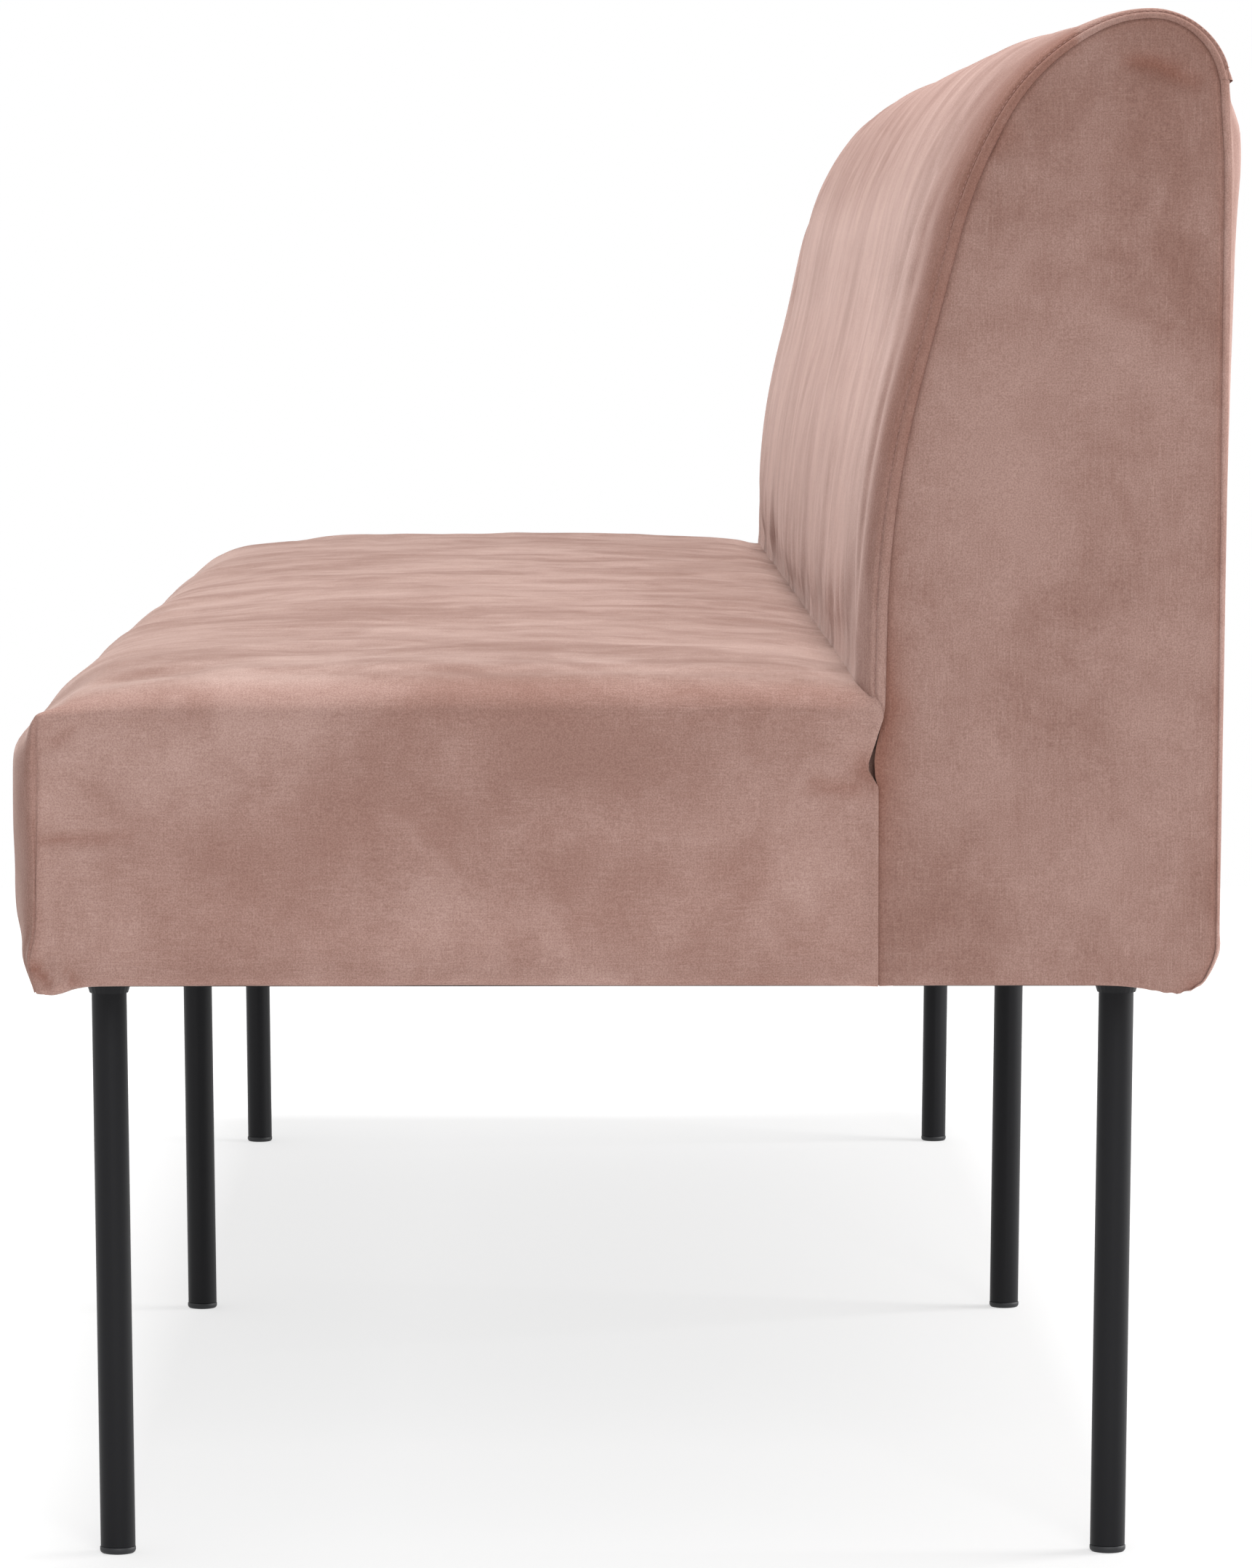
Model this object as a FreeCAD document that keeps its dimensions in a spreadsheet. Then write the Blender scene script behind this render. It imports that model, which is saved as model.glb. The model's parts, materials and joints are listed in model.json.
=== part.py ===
import FreeCAD, Part
import math
import os

# A dining bench for a table's long side: an upholstered seat with a padded back, on six round steel legs.
# +X runs along the bench, -Y is the open front of the seat and +Z is up, with the floor at zero.
# The origin is on the floor, under the middle of the whole outline.
# The seat and the back are two padded units on timber frames, bolted together along their joint.

os.makedirs("parts", exist_ok=True)
doc = FreeCAD.newDocument("dining_bench")
Vector = FreeCAD.Vector

# Driving sizes in millimetres and degrees
SIZES = [
    # the whole bench
    ("bench_length", 2000, "from end cover to end cover"),
    ("seat_depth", 448.5, "from the front corner seam to the joint with the back"),
    ("seat_height", 480, "top of the seat above the floor, along its end edges"),
    ("bench_height", 838, "top of the back above the floor"),
    ("underside_height", 316, "hem of the covers above the floor"),
    # covers and padding
    ("cover_thickness", 2.5, "velvet with its backing"),
    ("soft_clearance", 0.3, "room between a soft piece and its neighbour"),
    ("hem_width", 22, "cover turned under the frame"),
    ("frame_inset", 6, "from the cover's face to the seat's timber"),
    ("dust_cover_thickness", 0.8, "cloth under the frame"),
    ("dust_cover_margin", 8, "from the cover's face to the dust cover"),
    # form of the seat
    ("front_crown", 17, "how far the front panel swells past its corner seam"),
    ("front_crown_rise", 76, "height of the widest line of the front above the hem"),
    ("seat_crown_run", 80, "length over which the swell grows from an end"),
    ("front_edge_radius", 45, "soft upper front edge"),
    ("corner_edge_radius", 10, "upper edge where it meets an end seam"),
    ("end_edge_radius", 18, "upper edge along an end"),
    ("seat_rear_radius", 24, "edge that tucks under the back"),
    ("seat_top_crown", 4, "rise of the seat's top between front and rear"),
    # form of the back, as headings from straight up
    ("lower_lean", 1.2, "lean of the lowest stretch, degrees"),
    ("lumbar_rise", 28, "seat top to where the back starts to recline"),
    ("lumbar_radius", 565, "bend into the recline"),
    ("back_lean", 14.8, "recline of the back, degrees"),
    ("shoulder_radius", 260, "bend above the recline"),
    ("shoulder_lean", 30, "heading at the end of the shoulder, degrees"),
    ("brow_radius", 114, "bend towards the top"),
    ("brow_lean", 62, "heading at the end of the brow, degrees"),
    ("crest_radius", 70, "front half of the top"),
    ("rear_top_radius", 35.7, "rear half of the top"),
    ("rear_rake", 0.3, "lean of the rear face, degrees"),
    ("rear_foot_radius", 24, "rear face to hem"),
    ("back_front_crown", 16, "swell of the back's front past its end seam"),
    ("crest_crown", 7.5, "swell of the top past its end seam"),
    ("rear_crown", 12, "swell of the rear panel at the top"),
    ("rear_crown_low", 5, "swell of the rear panel at the hem"),
    ("back_crown_run", 60, "length over which the swell grows from an end"),
    ("tuck_depth", 18, "seat top down to where the back's swell is drawn in"),
    ("tuck_rise", 20, "seat top up to where the back's swell is full"),
    ("rear_hem_drop", 41, "top of the back down to the rear panel's hem"),
    # timber
    ("rail_thickness", 20, "planed timber rails"),
    ("seat_rail_height", 100, "rails round the seat"),
    ("cross_rail_height", 70, "rails across the seat, clear below the webbing"),
    ("bay_spacing", 333, "middle to a cross rail or an inner rib"),
    ("rib_thickness", 18, "plywood ribs of the back"),
    ("rib_inset", 10, "from the end seam's outline to the ribs"),
    ("notch_play", 0.2, "room for a rail in a rib's notch"),
    ("back_rail_height", 70, "lower rails of the back"),
    ("lumbar_rail_rise", 60, "seat top to the lumbar rail's lower edge"),
    ("lumbar_rail_height", 60, "lumbar rail"),
    ("top_rail_depth", 50, "top rail under the crest, front to rear"),
    ("top_rail_height", 32, "top rail under the crest"),
    ("block_height", 45, "leg blocks"),
    ("block_depth", 70, "front leg blocks, away from their rail"),
    ("block_reach", 48, "leg axis to a block's free end"),
    # webbing
    ("webbing_thickness", 1.6, "elastic webbing"),
    ("seat_webbing_width", 70, "straps from front to rear"),
    ("seat_webbing_count", 16, "straps in the seat"),
    ("back_webbing_width", 60, "upright straps"),
    ("back_webbing_count", 12, "straps in the back"),
    ("webbing_lap", 15, "strap's lower end on its rail"),
    ("webbing_margin", 5, "strap's end to the rail's outer face"),
    # legs
    ("leg_diameter", 19, "steel tube"),
    ("leg_wall", 1.5, "wall of the tube"),
    ("leg_lean", 0.64, "lean of each leg towards the middle, degrees"),
    ("leg_end_distance", 68, "end cover to the outer legs"),
    ("front_leg_distance", 34.5, "front corner seam to the front legs"),
    ("rear_leg_distance", 48, "rear seam to the rear legs"),
    ("plate_thickness", 3, "steel mounting plate"),
    ("plate_length", 72, "plate along the bench"),
    ("plate_short_side", 14.5, "leg axis to the plate's near edge"),
    ("plate_long_side", 49.5, "leg axis to the plate's far edge"),
    ("plate_corner_radius", 6, "corners of the plate"),
    ("screw_edge_distance", 8, "plate edge to a screw's axis"),
    ("bead_height", 9, "weld bead down the tube"),
    ("bead_width", 3.5, "weld bead on the plate"),
    ("bead_lip", 0.8, "weld bead at its lower edge"),
    ("weld_play", 0.1, "room for the leaning tube in the bead"),
    ("glide_height", 4, "plastic foot below the tube"),
    ("glide_overlap", 0.3, "foot wider than the tube, each side"),
    ("glide_edge", 1, "chamfer under the foot"),
    ("plug_length", 14, "foot's plug in the tube"),
    ("plug_play", 0.35, "plug to tube wall"),
    # fasteners
    ("screw_diameter", 4, "wood screws of the legs"),
    ("screw_length", 25, "under the head"),
    ("screw_point_diameter", 1, "blunt end of a screw's point"),
    ("screw_head_diameter", 8, "pan head"),
    ("screw_head_height", 2.4, "pan head"),
    ("screw_play", 0.2, "hole round a screw, each side"),
    ("bolt_diameter", 8, "bolts that join the back to the seat"),
    ("bolt_rise", 40, "frame's underside to the bolts"),
    ("bolt_count", 4, "bolts along the joint"),
    ("bolt_head_width", 13, "across the flats of head and nut"),
    ("bolt_head_height", 5.3, "hexagon head"),
    ("nut_height", 6.5, "hexagon nut"),
    ("nut_play", 0.05, "nut round its bolt, each side"),
    ("washer_diameter", 24, "wide washer"),
    ("washer_thickness", 2, "wide washer"),
    ("bolt_tail", 4, "thread past the nut"),
    ("bolt_play", 0.5, "hole round a bolt, each side"),
]

# A cutter runs this far past the faces that it cuts
OVERRUN = 1

# Flat sides that stand for a round on small repeated pieces
RING_SIDES = 24
WASHER_SIDES = 16
ROUND_SIDES = 8
SHANK_SIDES = 6
CORNER_FLATS = 3

# Shares of a swell's run at which its sections stand
SWELL_SHARES = (0, 1 / 16, 1 / 4, 1 / 2, 1)


def fill_sheet(name, rows):
    """Writes rows of alias, value and note to a spreadsheet and returns it."""
    sheet = doc.addObject("Spreadsheet::Sheet", name)
    for row, (alias, value, note) in enumerate(rows, start=1):
        sheet.set("A%d" % row, note)
        sheet.set("B%d" % row, "%.6f" % value)
        sheet.setAlias("B%d" % row, alias)
    doc.recompute()
    return sheet


sizes = fill_sheet("Sizes", SIZES)


def size(alias):
    """A driving size, read back from the sheet."""
    return float(sizes.get(alias))


def slope(degrees):
    return math.tan(math.radians(degrees))


# Outlines


class Outline:
    """A side outline that runs up the front, over the top and down the rear.

    A heading is measured from straight up towards the rear: 0 climbs, 90 runs to the rear, 180 drops.
    Every stretch starts with the heading that the last one ended with.
    """

    def __init__(self, y, z, heading):
        self.spots = [(y, z, math.radians(heading))]
        self.bends = []

    def line_to(self, height):
        y, z, heading = self.spots[-1]
        length = (height - z) / math.cos(heading)
        self.spots.append((y + length * math.sin(heading), height, heading))
        self.bends.append(None)

    def arc(self, radius, heading):
        y, z, start = self.spots[-1]
        end = math.radians(heading)
        centre_y = y + radius * math.cos(start)
        centre_z = z - radius * math.sin(start)
        self.bends.append((centre_y, centre_z, radius, (start + end) / 2))
        self.spots.append((centre_y - radius * math.cos(end), centre_z + radius * math.sin(end), end))

    def wire(self, x, inset=0):
        """The closed outline at x, moved inwards by the inset."""
        points = []
        for y, z, heading in self.spots:
            points.append(Vector(x, y + inset * math.cos(heading), z - inset * math.sin(heading)))
        edges = []
        for start, end, bend in zip(points, points[1:], self.bends):
            if bend is None:
                edges.append(Part.LineSegment(start, end).toShape())
            else:
                centre_y, centre_z, radius, middle = bend
                reach = radius - inset
                half = Vector(x, centre_y - reach * math.cos(middle), centre_z + reach * math.sin(middle))
                edges.append(Part.Arc(start, half, end).toShape())
        edges.append(Part.LineSegment(points[-1], points[0]).toShape())
        return Part.Wire(edges)


def turn_rise(radius, start, end):
    """How far an arc climbs between two headings."""
    return radius * (math.sin(math.radians(end)) - math.sin(math.radians(start)))


def turn_run(radius, start, end):
    """How far an arc runs to the rear between two headings."""
    return radius * (math.cos(math.radians(start)) - math.cos(math.radians(end)))


def bend_share():
    """Bends of the back's front, like a fillet by its wall, are limited by the height that they have."""
    rise = turn_rise(size("lumbar_radius"), size("lower_lean"), size("back_lean"))
    rise += turn_rise(size("shoulder_radius"), size("back_lean"), size("shoulder_lean"))
    rise += turn_rise(size("brow_radius"), size("shoulder_lean"), size("brow_lean"))
    rise += turn_rise(size("crest_radius"), size("brow_lean"), 90)
    room = size("bench_height") - size("crest_crown") - size("seat_height") - size("lumbar_rise")
    return min(1, room / rise)


def back_outline(front, crown, drop=0):
    """The back's outline: crown is 0 at an end seam and 1 where the padding is full.

    The drop carries both faces on below the hem, for timber that ends level after an inset.
    """
    base = size("underside_height") - drop
    share = bend_share()
    lower = size("lower_lean")
    lean = size("back_lean")
    shoulder = size("shoulder_lean")
    brow = size("brow_lean")
    growth = crown * size("crest_crown") / (1 - math.sin(math.radians(shoulder)))
    shoulder_radius = share * size("shoulder_radius")
    brow_radius = share * size("brow_radius") + growth
    crest_radius = share * size("crest_radius") + growth
    crest = size("bench_height") - size("crest_crown") * (1 - crown)
    shoulder_start = crest - turn_rise(crest_radius, brow, 90) - turn_rise(brow_radius, shoulder, brow)
    shoulder_start -= turn_rise(shoulder_radius, lean, shoulder)
    outline = Outline(front - crown * size("back_front_crown") - drop * slope(lower), base, lower)
    outline.line_to(size("seat_height") + size("lumbar_rise"))
    outline.arc(share * size("lumbar_radius"), lean)
    if share == 1:
        outline.line_to(shoulder_start)
    outline.arc(shoulder_radius, shoulder)
    outline.arc(brow_radius, brow)
    outline.arc(crest_radius, 90)
    outline.crest = outline.spots[-1][0]
    rear_growth = crown * (size("back_front_crown") + size("rear_crown")) - turn_run(growth, shoulder, 90)
    rear_radius = size("rear_top_radius") + rear_growth
    rear_height = crest - rear_radius - base
    swell_lean = crown * (size("rear_crown") - size("rear_crown_low")) / rear_height
    rake = size("rear_rake") + math.degrees(math.atan(swell_lean))
    outline.arc(rear_radius, 180 + rake)
    outline.rear_top = outline.spots[-1][0]
    outline.line_to(base + size("rear_foot_radius"))
    outline.rear_low = outline.spots[-1][0]
    outline.arc(size("rear_foot_radius"), 270)
    return outline


# Places worked out from the driving sizes, measured first from the front corner seam

seam_outline = back_outline(size("seat_depth") + size("soft_clearance"), 0)
full_outline = back_outline(size("seat_depth") + size("soft_clearance"), 1)
rear_top = full_outline.rear_top
depth = size("front_crown") + rear_top
front_seam = size("front_crown") - depth / 2
joint = front_seam + size("seat_depth")
back_front = joint + size("soft_clearance")
rear_seam = front_seam + seam_outline.rear_low
crest_line = front_seam + seam_outline.crest
half_length = size("bench_length") / 2
timber_floor = size("underside_height") + size("cover_thickness")
frame_half = half_length - size("frame_inset")
tuck_high = size("seat_height") + size("tuck_rise")
tuck_low = size("seat_height") - size("tuck_depth")
seam_at_tuck = back_front + (tuck_high - size("underside_height")) * slope(size("lower_lean"))

PLACES = [
    ("bay_half", frame_half - size("rib_thickness"), "middle to an end rib's inner face"),
    ("frame_half", frame_half, "middle to the timber's end face"),
    ("timber_floor", timber_floor, "underside of the timber"),
    ("seat_frame_front", front_seam + size("frame_inset"), "front rail's front face"),
    ("seat_frame_rear", joint - size("frame_inset"), "rear rail's rear face"),
    ("back_frame_front", back_front + size("rib_inset"), "back frame's front face at the hem"),
    ("back_frame_rear", rear_seam - size("rib_inset"), "back frame's rear face at the hem"),
    ("crest_line", crest_line, "highest line of the back's end seam"),
    ("front_leg_line", front_seam + size("front_leg_distance"), "axis of the front legs at the plate"),
    ("rear_leg_line", rear_seam - size("rear_leg_distance"), "axis of the rear legs at the plate"),
    ("outer_leg_line", half_length - size("leg_end_distance"), "middle to the outer legs"),
    ("plate_floor", timber_floor - size("plate_thickness"), "underside of the leg plates"),
]
places = fill_sheet("Places", PLACES)
pieces = {}


def place(alias):
    """A place, read back from the sheet."""
    return float(places.get(alias))


def keep(thing, label):
    """Names a finished sub-part, which is then written to a file of that name."""
    thing.Label = label
    pieces[label] = thing
    return thing


def shaped(name, shape):
    """A document object that holds a free form."""
    thing = doc.addObject("Part::Feature", name)
    thing.Shape = shape
    return thing


def block(name, x, y, z, length, depth_y, height):
    """A square-edged block whose corner and sizes are expressions of the sheets."""
    box = doc.addObject("Part::Box", name)
    box.setExpression("Length", length)
    box.setExpression("Width", depth_y)
    box.setExpression("Height", height)
    box.setExpression("Placement.Base.x", x)
    box.setExpression("Placement.Base.y", y)
    box.setExpression("Placement.Base.z", z)
    return box


def cut(name, base, tool):
    thing = doc.addObject("Part::Cut", name)
    thing.Base = base
    thing.Tool = tool
    return thing


def common(name, base, tool):
    thing = doc.addObject("Part::Common", name)
    thing.Base = base
    thing.Tool = tool
    return thing


def solid_box(low, high):
    """A plain box between two corners."""
    span = high - low
    return Part.makeBox(span.x, span.y, span.z, low)


def ring_corners(sides, flat_radius):
    """Corners of a regular polygon whose flat sides touch a circle of that radius."""
    reach = flat_radius / math.cos(math.pi / sides)
    turns = [2 * math.pi * (corner + 0.5) / sides for corner in range(sides)]
    return [(reach * math.cos(turn), reach * math.sin(turn)) for turn in turns]


def faceted_bar(sides, flat_radius, low, span):
    """A bar with flat sides from a point, along Y or Z as the span says."""
    upright = abs(span.z) > abs(span.y)
    points = []
    for across, along in ring_corners(sides, flat_radius):
        points.append(low + (Vector(across, along, 0) if upright else Vector(across, 0, along)))
    return Part.Face(Part.makePolygon(points + points[:1])).extrude(span)


def faceted_taper(sides, low_radius, high_radius, low, height):
    """An upright tapered bar from flat faces, between two regular polygons."""
    rings = []
    for level, radius in ((0, low_radius), (height, high_radius)):
        corners = ring_corners(sides, radius)
        rings.append([low + Vector(across, along, level) for across, along in corners])
    foot, top = rings
    outlines = [foot, top]
    for here in range(sides):
        beyond = (here + 1) % sides
        outlines.append([foot[here], foot[beyond], top[beyond], top[here]])
    faces = [Part.Face(Part.makePolygon(outline + outline[:1])) for outline in outlines]
    solid = Part.Solid(Part.makeShell(faces))
    if solid.Volume < 0:
        solid.reverse()
    return solid


def prism(wire, half_span):
    """A wire in the side plane, drawn along X to both sides of the middle."""
    face = Part.Face(wire)
    face.translate(Vector(-half_span, 0, 0))
    return face.extrude(Vector(2 * half_span, 0, 0))


def trimmed(shape, floor):
    """The part of a shape above a height."""
    room = shape.BoundBox
    low = Vector(room.XMin - OVERRUN, room.YMin - OVERRUN, floor)
    high = Vector(room.XMax + OVERRUN, room.YMax + OVERRUN, room.ZMax + OVERRUN)
    return shape.common(solid_box(low, high)).Solids[0]


def swell(distance, run):
    """Share of the full crown at a distance from an end: a quarter ellipse over the run."""
    rest = 1 - min(distance, run) / run
    return math.sqrt(1 - rest * rest)


def mirrored_loft(stations, half_span):
    """A ruled loft from end to end through the same sections on both sides of the middle."""
    near = [make_wire(half_span - distance) for distance, make_wire in stations]
    far = [make_wire(distance - half_span) for distance, make_wire in stations]
    return Part.makeLoft(far + near[::-1], True, True)


# Legs, their plates, screws and glides

SIDES = [("left", -1), ("middle", 0), ("right", 1)]
ROWS = [("front", "front_leg_line", 1), ("rear", "rear_leg_line", -1)]


def leg_spots():
    """Name, x, y and inward direction of each leg."""
    spots = []
    for row, line, inward in ROWS:
        for side, sign in SIDES:
            spots.append(("%s_%s" % (row, side), sign * place("outer_leg_line"), place(line), inward))
    return spots


def screw_spots():
    """Where the screws of all leg plates stand."""
    across = size("plate_length") / 2 - size("screw_edge_distance")
    near = size("screw_edge_distance") - size("plate_short_side")
    far = size("plate_long_side") - size("screw_edge_distance")
    spots = []
    for name, x, y, inward in leg_spots():
        for sign in (-1, 1):
            for reach in (near, far):
                spots.append(Vector(x + sign * across, y + inward * reach, place("plate_floor")))
    return spots


def make_plate(name, x, y, inward):
    """A steel plate with rounded corners and four holes, and the weld bead below it."""
    body = doc.addObject("PartDesign::Body", "plate_" + name)
    sketch = body.newObject("Sketcher::SketchObject", "plate_outline_" + name)
    sketch.AttachmentSupport = (origin_plane(body, "XY_Plane"), [""])
    sketch.MapMode = "FlatFace"
    half = size("plate_length") / 2
    low = -size("plate_short_side")
    high = size("plate_long_side")
    add_rounded_rectangle(sketch, -half, low, half, high, size("plate_corner_radius"))
    hole_radius = size("screw_diameter") / 2 + size("screw_play")
    edge = size("screw_edge_distance")
    for hole_x in (edge - half, half - edge):
        for hole_y in (low + edge, high - edge):
            corners = ring_corners(SHANK_SIDES, hole_radius)
            add_polygon(sketch, [(hole_x + across, hole_y + along) for across, along in corners])
    pad = body.newObject("PartDesign::Pad", "plate_pad_" + name)
    pad.Profile = sketch
    pad.setExpression("Length", "Sizes.plate_thickness")
    body.Placement = FreeCAD.Placement(
        Vector(x, y, place("plate_floor")),
        FreeCAD.Rotation(Vector(0, 0, 1), 0 if inward > 0 else 180),
    )
    bore = size("leg_diameter") / 2 + size("weld_play")
    height = size("bead_height")
    foot = Vector(x, y, place("plate_floor") - height)
    bead = faceted_taper(RING_SIDES, bore + size("bead_lip"), bore + size("bead_width"), foot, height)
    room = faceted_bar(RING_SIDES, bore, foot - Vector(0, 0, OVERRUN), Vector(0, 0, height + OVERRUN))
    ring = shaped("bead_" + name, bead.cut(room))
    joined = doc.addObject("Part::Fuse", "welded_plate_" + name)
    joined.Base = body
    joined.Tool = ring
    keep(joined, "leg_plate_" + name)


def origin_plane(body, role):
    """One of a body's own planes or axes."""
    for feature in body.Origin.OriginFeatures:
        if feature.Role == role:
            return feature
    raise ValueError(role)


def add_segment(sketch, start, end):
    sketch.addGeometry(Part.LineSegment(Vector(start[0], start[1], 0), Vector(end[0], end[1], 0)))


def add_polygon(sketch, corners):
    for start, end in zip(corners, corners[1:] + corners[:1]):
        add_segment(sketch, start, end)


def add_rounded_rectangle(sketch, left, low, right, high, radius):
    """A rectangle whose corners are rounded in a few flats."""
    centres = [
        (right - radius, low + radius, 270),
        (right - radius, high - radius, 0),
        (left + radius, high - radius, 90),
        (left + radius, low + radius, 180),
    ]
    corners = []
    for across, along, start in centres:
        for flat in range(CORNER_FLATS + 1):
            turn = math.radians(start + 90 * flat / CORNER_FLATS)
            corners.append((across + radius * math.cos(turn), along + radius * math.sin(turn)))
    add_polygon(sketch, corners)


def make_tube(name, x, y, inward):
    """A round tube that leans a little towards the middle, cut level at both ends."""
    lean = FreeCAD.Rotation(Vector(1, 0, 0), inward * size("leg_lean"))
    drop = place("plate_floor")
    foot = Vector(x, y + inward * drop * slope(size("leg_lean")), 0)
    rods = []
    outer = "Sizes.leg_diameter / 2"
    inner = "Sizes.leg_diameter / 2 - Sizes.leg_wall"
    for kind, radius in (("outer", outer), ("inner", inner)):
        rod = doc.addObject("Part::Cylinder", "leg_%s_%s" % (kind, name))
        rod.setExpression("Radius", radius)
        rod.setExpression("Height", "Places.plate_floor + 2 * Sizes.leg_diameter")
        rod.Placement = FreeCAD.Placement(foot, lean) * FreeCAD.Placement(
            Vector(0, 0, -size("leg_diameter")), FreeCAD.Rotation()
        )
        rods.append(rod)
    tube = cut("leg_tube_" + name, rods[0], rods[1])
    room = block(
        "leg_room_" + name,
        "%.6f - 3 * Sizes.leg_diameter" % x,
        "%.6f - 3 * Sizes.leg_diameter" % y,
        "Sizes.glide_height",
        "6 * Sizes.leg_diameter",
        "6 * Sizes.leg_diameter",
        "Places.plate_floor - Sizes.glide_height",
    )
    keep(common("leg_cut_" + name, tube, room), "leg_" + name)


def make_glide(name, x, y, inward):
    """A plastic foot: a disc with a chamfer under it and a plug in the tube."""
    rim = size("leg_diameter") / 2 + size("glide_overlap")
    plug_radius = size("leg_diameter") / 2 - size("leg_wall") - size("plug_play")
    height = size("glide_height")
    edge = size("glide_edge")
    middle = height + size("plug_length") / 2
    shift = inward * (place("plate_floor") - middle) * slope(size("leg_lean"))
    foot = Vector(x, y + shift, 0)
    chamfer = faceted_taper(RING_SIDES, rim - edge, rim, foot, edge)
    disc = faceted_bar(RING_SIDES, rim, foot + Vector(0, 0, edge), Vector(0, 0, height - edge))
    plug_foot = foot + Vector(0, 0, height)
    plug_flat = plug_radius * math.cos(math.pi / ROUND_SIDES)
    plug = faceted_bar(ROUND_SIDES, plug_flat, plug_foot, Vector(0, 0, size("plug_length")))
    solid = chamfer.fuse(disc).fuse(plug).removeSplitter().Solids[0]
    keep(shaped("glide_form_" + name, solid), "glide_" + name)


def make_screws():
    """Pan-head wood screws, four to a plate, and the holes that they need in the timber."""
    radius = size("screw_diameter") / 2
    point = size("screw_diameter")
    head_height = size("screw_head_height")
    shank_length = size("screw_length") - point
    screws = []
    holes = []
    for spot in screw_spots():
        head_foot = spot - Vector(0, 0, head_height)
        head_radius = size("screw_head_diameter") / 2
        head = faceted_bar(ROUND_SIDES, head_radius, head_foot, Vector(0, 0, head_height))
        shank = faceted_bar(SHANK_SIDES, radius, spot, Vector(0, 0, shank_length))
        tip_foot = spot + Vector(0, 0, shank_length)
        tip = faceted_taper(SHANK_SIDES, radius, size("screw_point_diameter") / 2, tip_foot, point)
        screws.append(head.fuse(shank).fuse(tip).removeSplitter().Solids[0])
        reach = Vector(0, 0, size("screw_length") + OVERRUN)
        holes.append(faceted_bar(SHANK_SIDES, radius + size("screw_play"), spot, reach))
    keep(shaped("screws", Part.makeCompound(screws)), "leg_screws")
    return shaped("screw_holes", Part.makeCompound(holes))


for leg_name, leg_x, leg_y, leg_inward in leg_spots():
    make_plate(leg_name, leg_x, leg_y, leg_inward)
    make_tube(leg_name, leg_x, leg_y, leg_inward)
    make_glide(leg_name, leg_x, leg_y, leg_inward)
screw_holes = make_screws()

# Bolts of the joint

seat_rail_front = joint - size("frame_inset") - size("rail_thickness")
back_rail_rear = back_front + size("rib_inset") + size("rail_thickness")
bolt_height = timber_floor + size("bolt_rise")


def bar(sides, flat_radius, y, length, x):
    """A bar with flat sides along Y from y."""
    return faceted_bar(sides, flat_radius, Vector(x, y, bolt_height), Vector(0, length, 0))


def make_bolts():
    """Hexagon bolts through both lower rails, with a washer and a nut behind the back's rail."""
    bolts = []
    nuts = []
    washers = []
    holes = []
    count = int(size("bolt_count"))
    pitch = 2 * place("bay_half") / count
    radius = size("bolt_diameter") / 2
    play = size("bolt_play")
    head_front = seat_rail_front - size("washer_thickness") - size("bolt_head_height")
    nut_front = back_rail_rear + size("washer_thickness")
    shank_front = head_front + size("bolt_head_height")
    shank_length = nut_front + size("nut_height") + size("bolt_tail") - shank_front
    for index in range(count):
        x = (index - (count - 1) / 2) * pitch
        shank = bar(ROUND_SIDES, radius, shank_front, shank_length, x)
        head = bar(SHANK_SIDES, size("bolt_head_width") / 2, head_front, size("bolt_head_height"), x)
        bolts.append(head.fuse(shank).removeSplitter().Solids[0])
        reach = back_rail_rear - seat_rail_front + 2 * OVERRUN
        holes.append(bar(ROUND_SIDES, radius + play, seat_rail_front - OVERRUN, reach, x))
        nut = bar(SHANK_SIDES, size("bolt_head_width") / 2, nut_front, size("nut_height"), x)
        thread_length = size("nut_height") + 2 * OVERRUN
        thread = bar(ROUND_SIDES, radius + size("nut_play"), nut_front - OVERRUN, thread_length, x)
        nuts.append(nut.cut(thread))
        for front in (seat_rail_front - size("washer_thickness"), back_rail_rear):
            disc = bar(WASHER_SIDES, size("washer_diameter") / 2, front, size("washer_thickness"), x)
            eye_length = size("washer_thickness") + 2 * OVERRUN
            eye = bar(ROUND_SIDES, radius + play, front - OVERRUN, eye_length, x)
            washers.append(disc.cut(eye))
    keep(shaped("bolts", Part.makeCompound(bolts)), "joint_bolts")
    keep(shaped("nuts", Part.makeCompound(nuts)), "joint_nuts")
    keep(shaped("washers", Part.makeCompound(washers)), "joint_washers")
    return shaped("bolt_bores", Part.makeCompound(holes))


bolt_bores = make_bolts()

# Timber of the seat


def drilled(label, timber, tool):
    """Timber with the holes that fasteners need in it."""
    return keep(cut(label + "_drilled", timber, tool), label)


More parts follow.
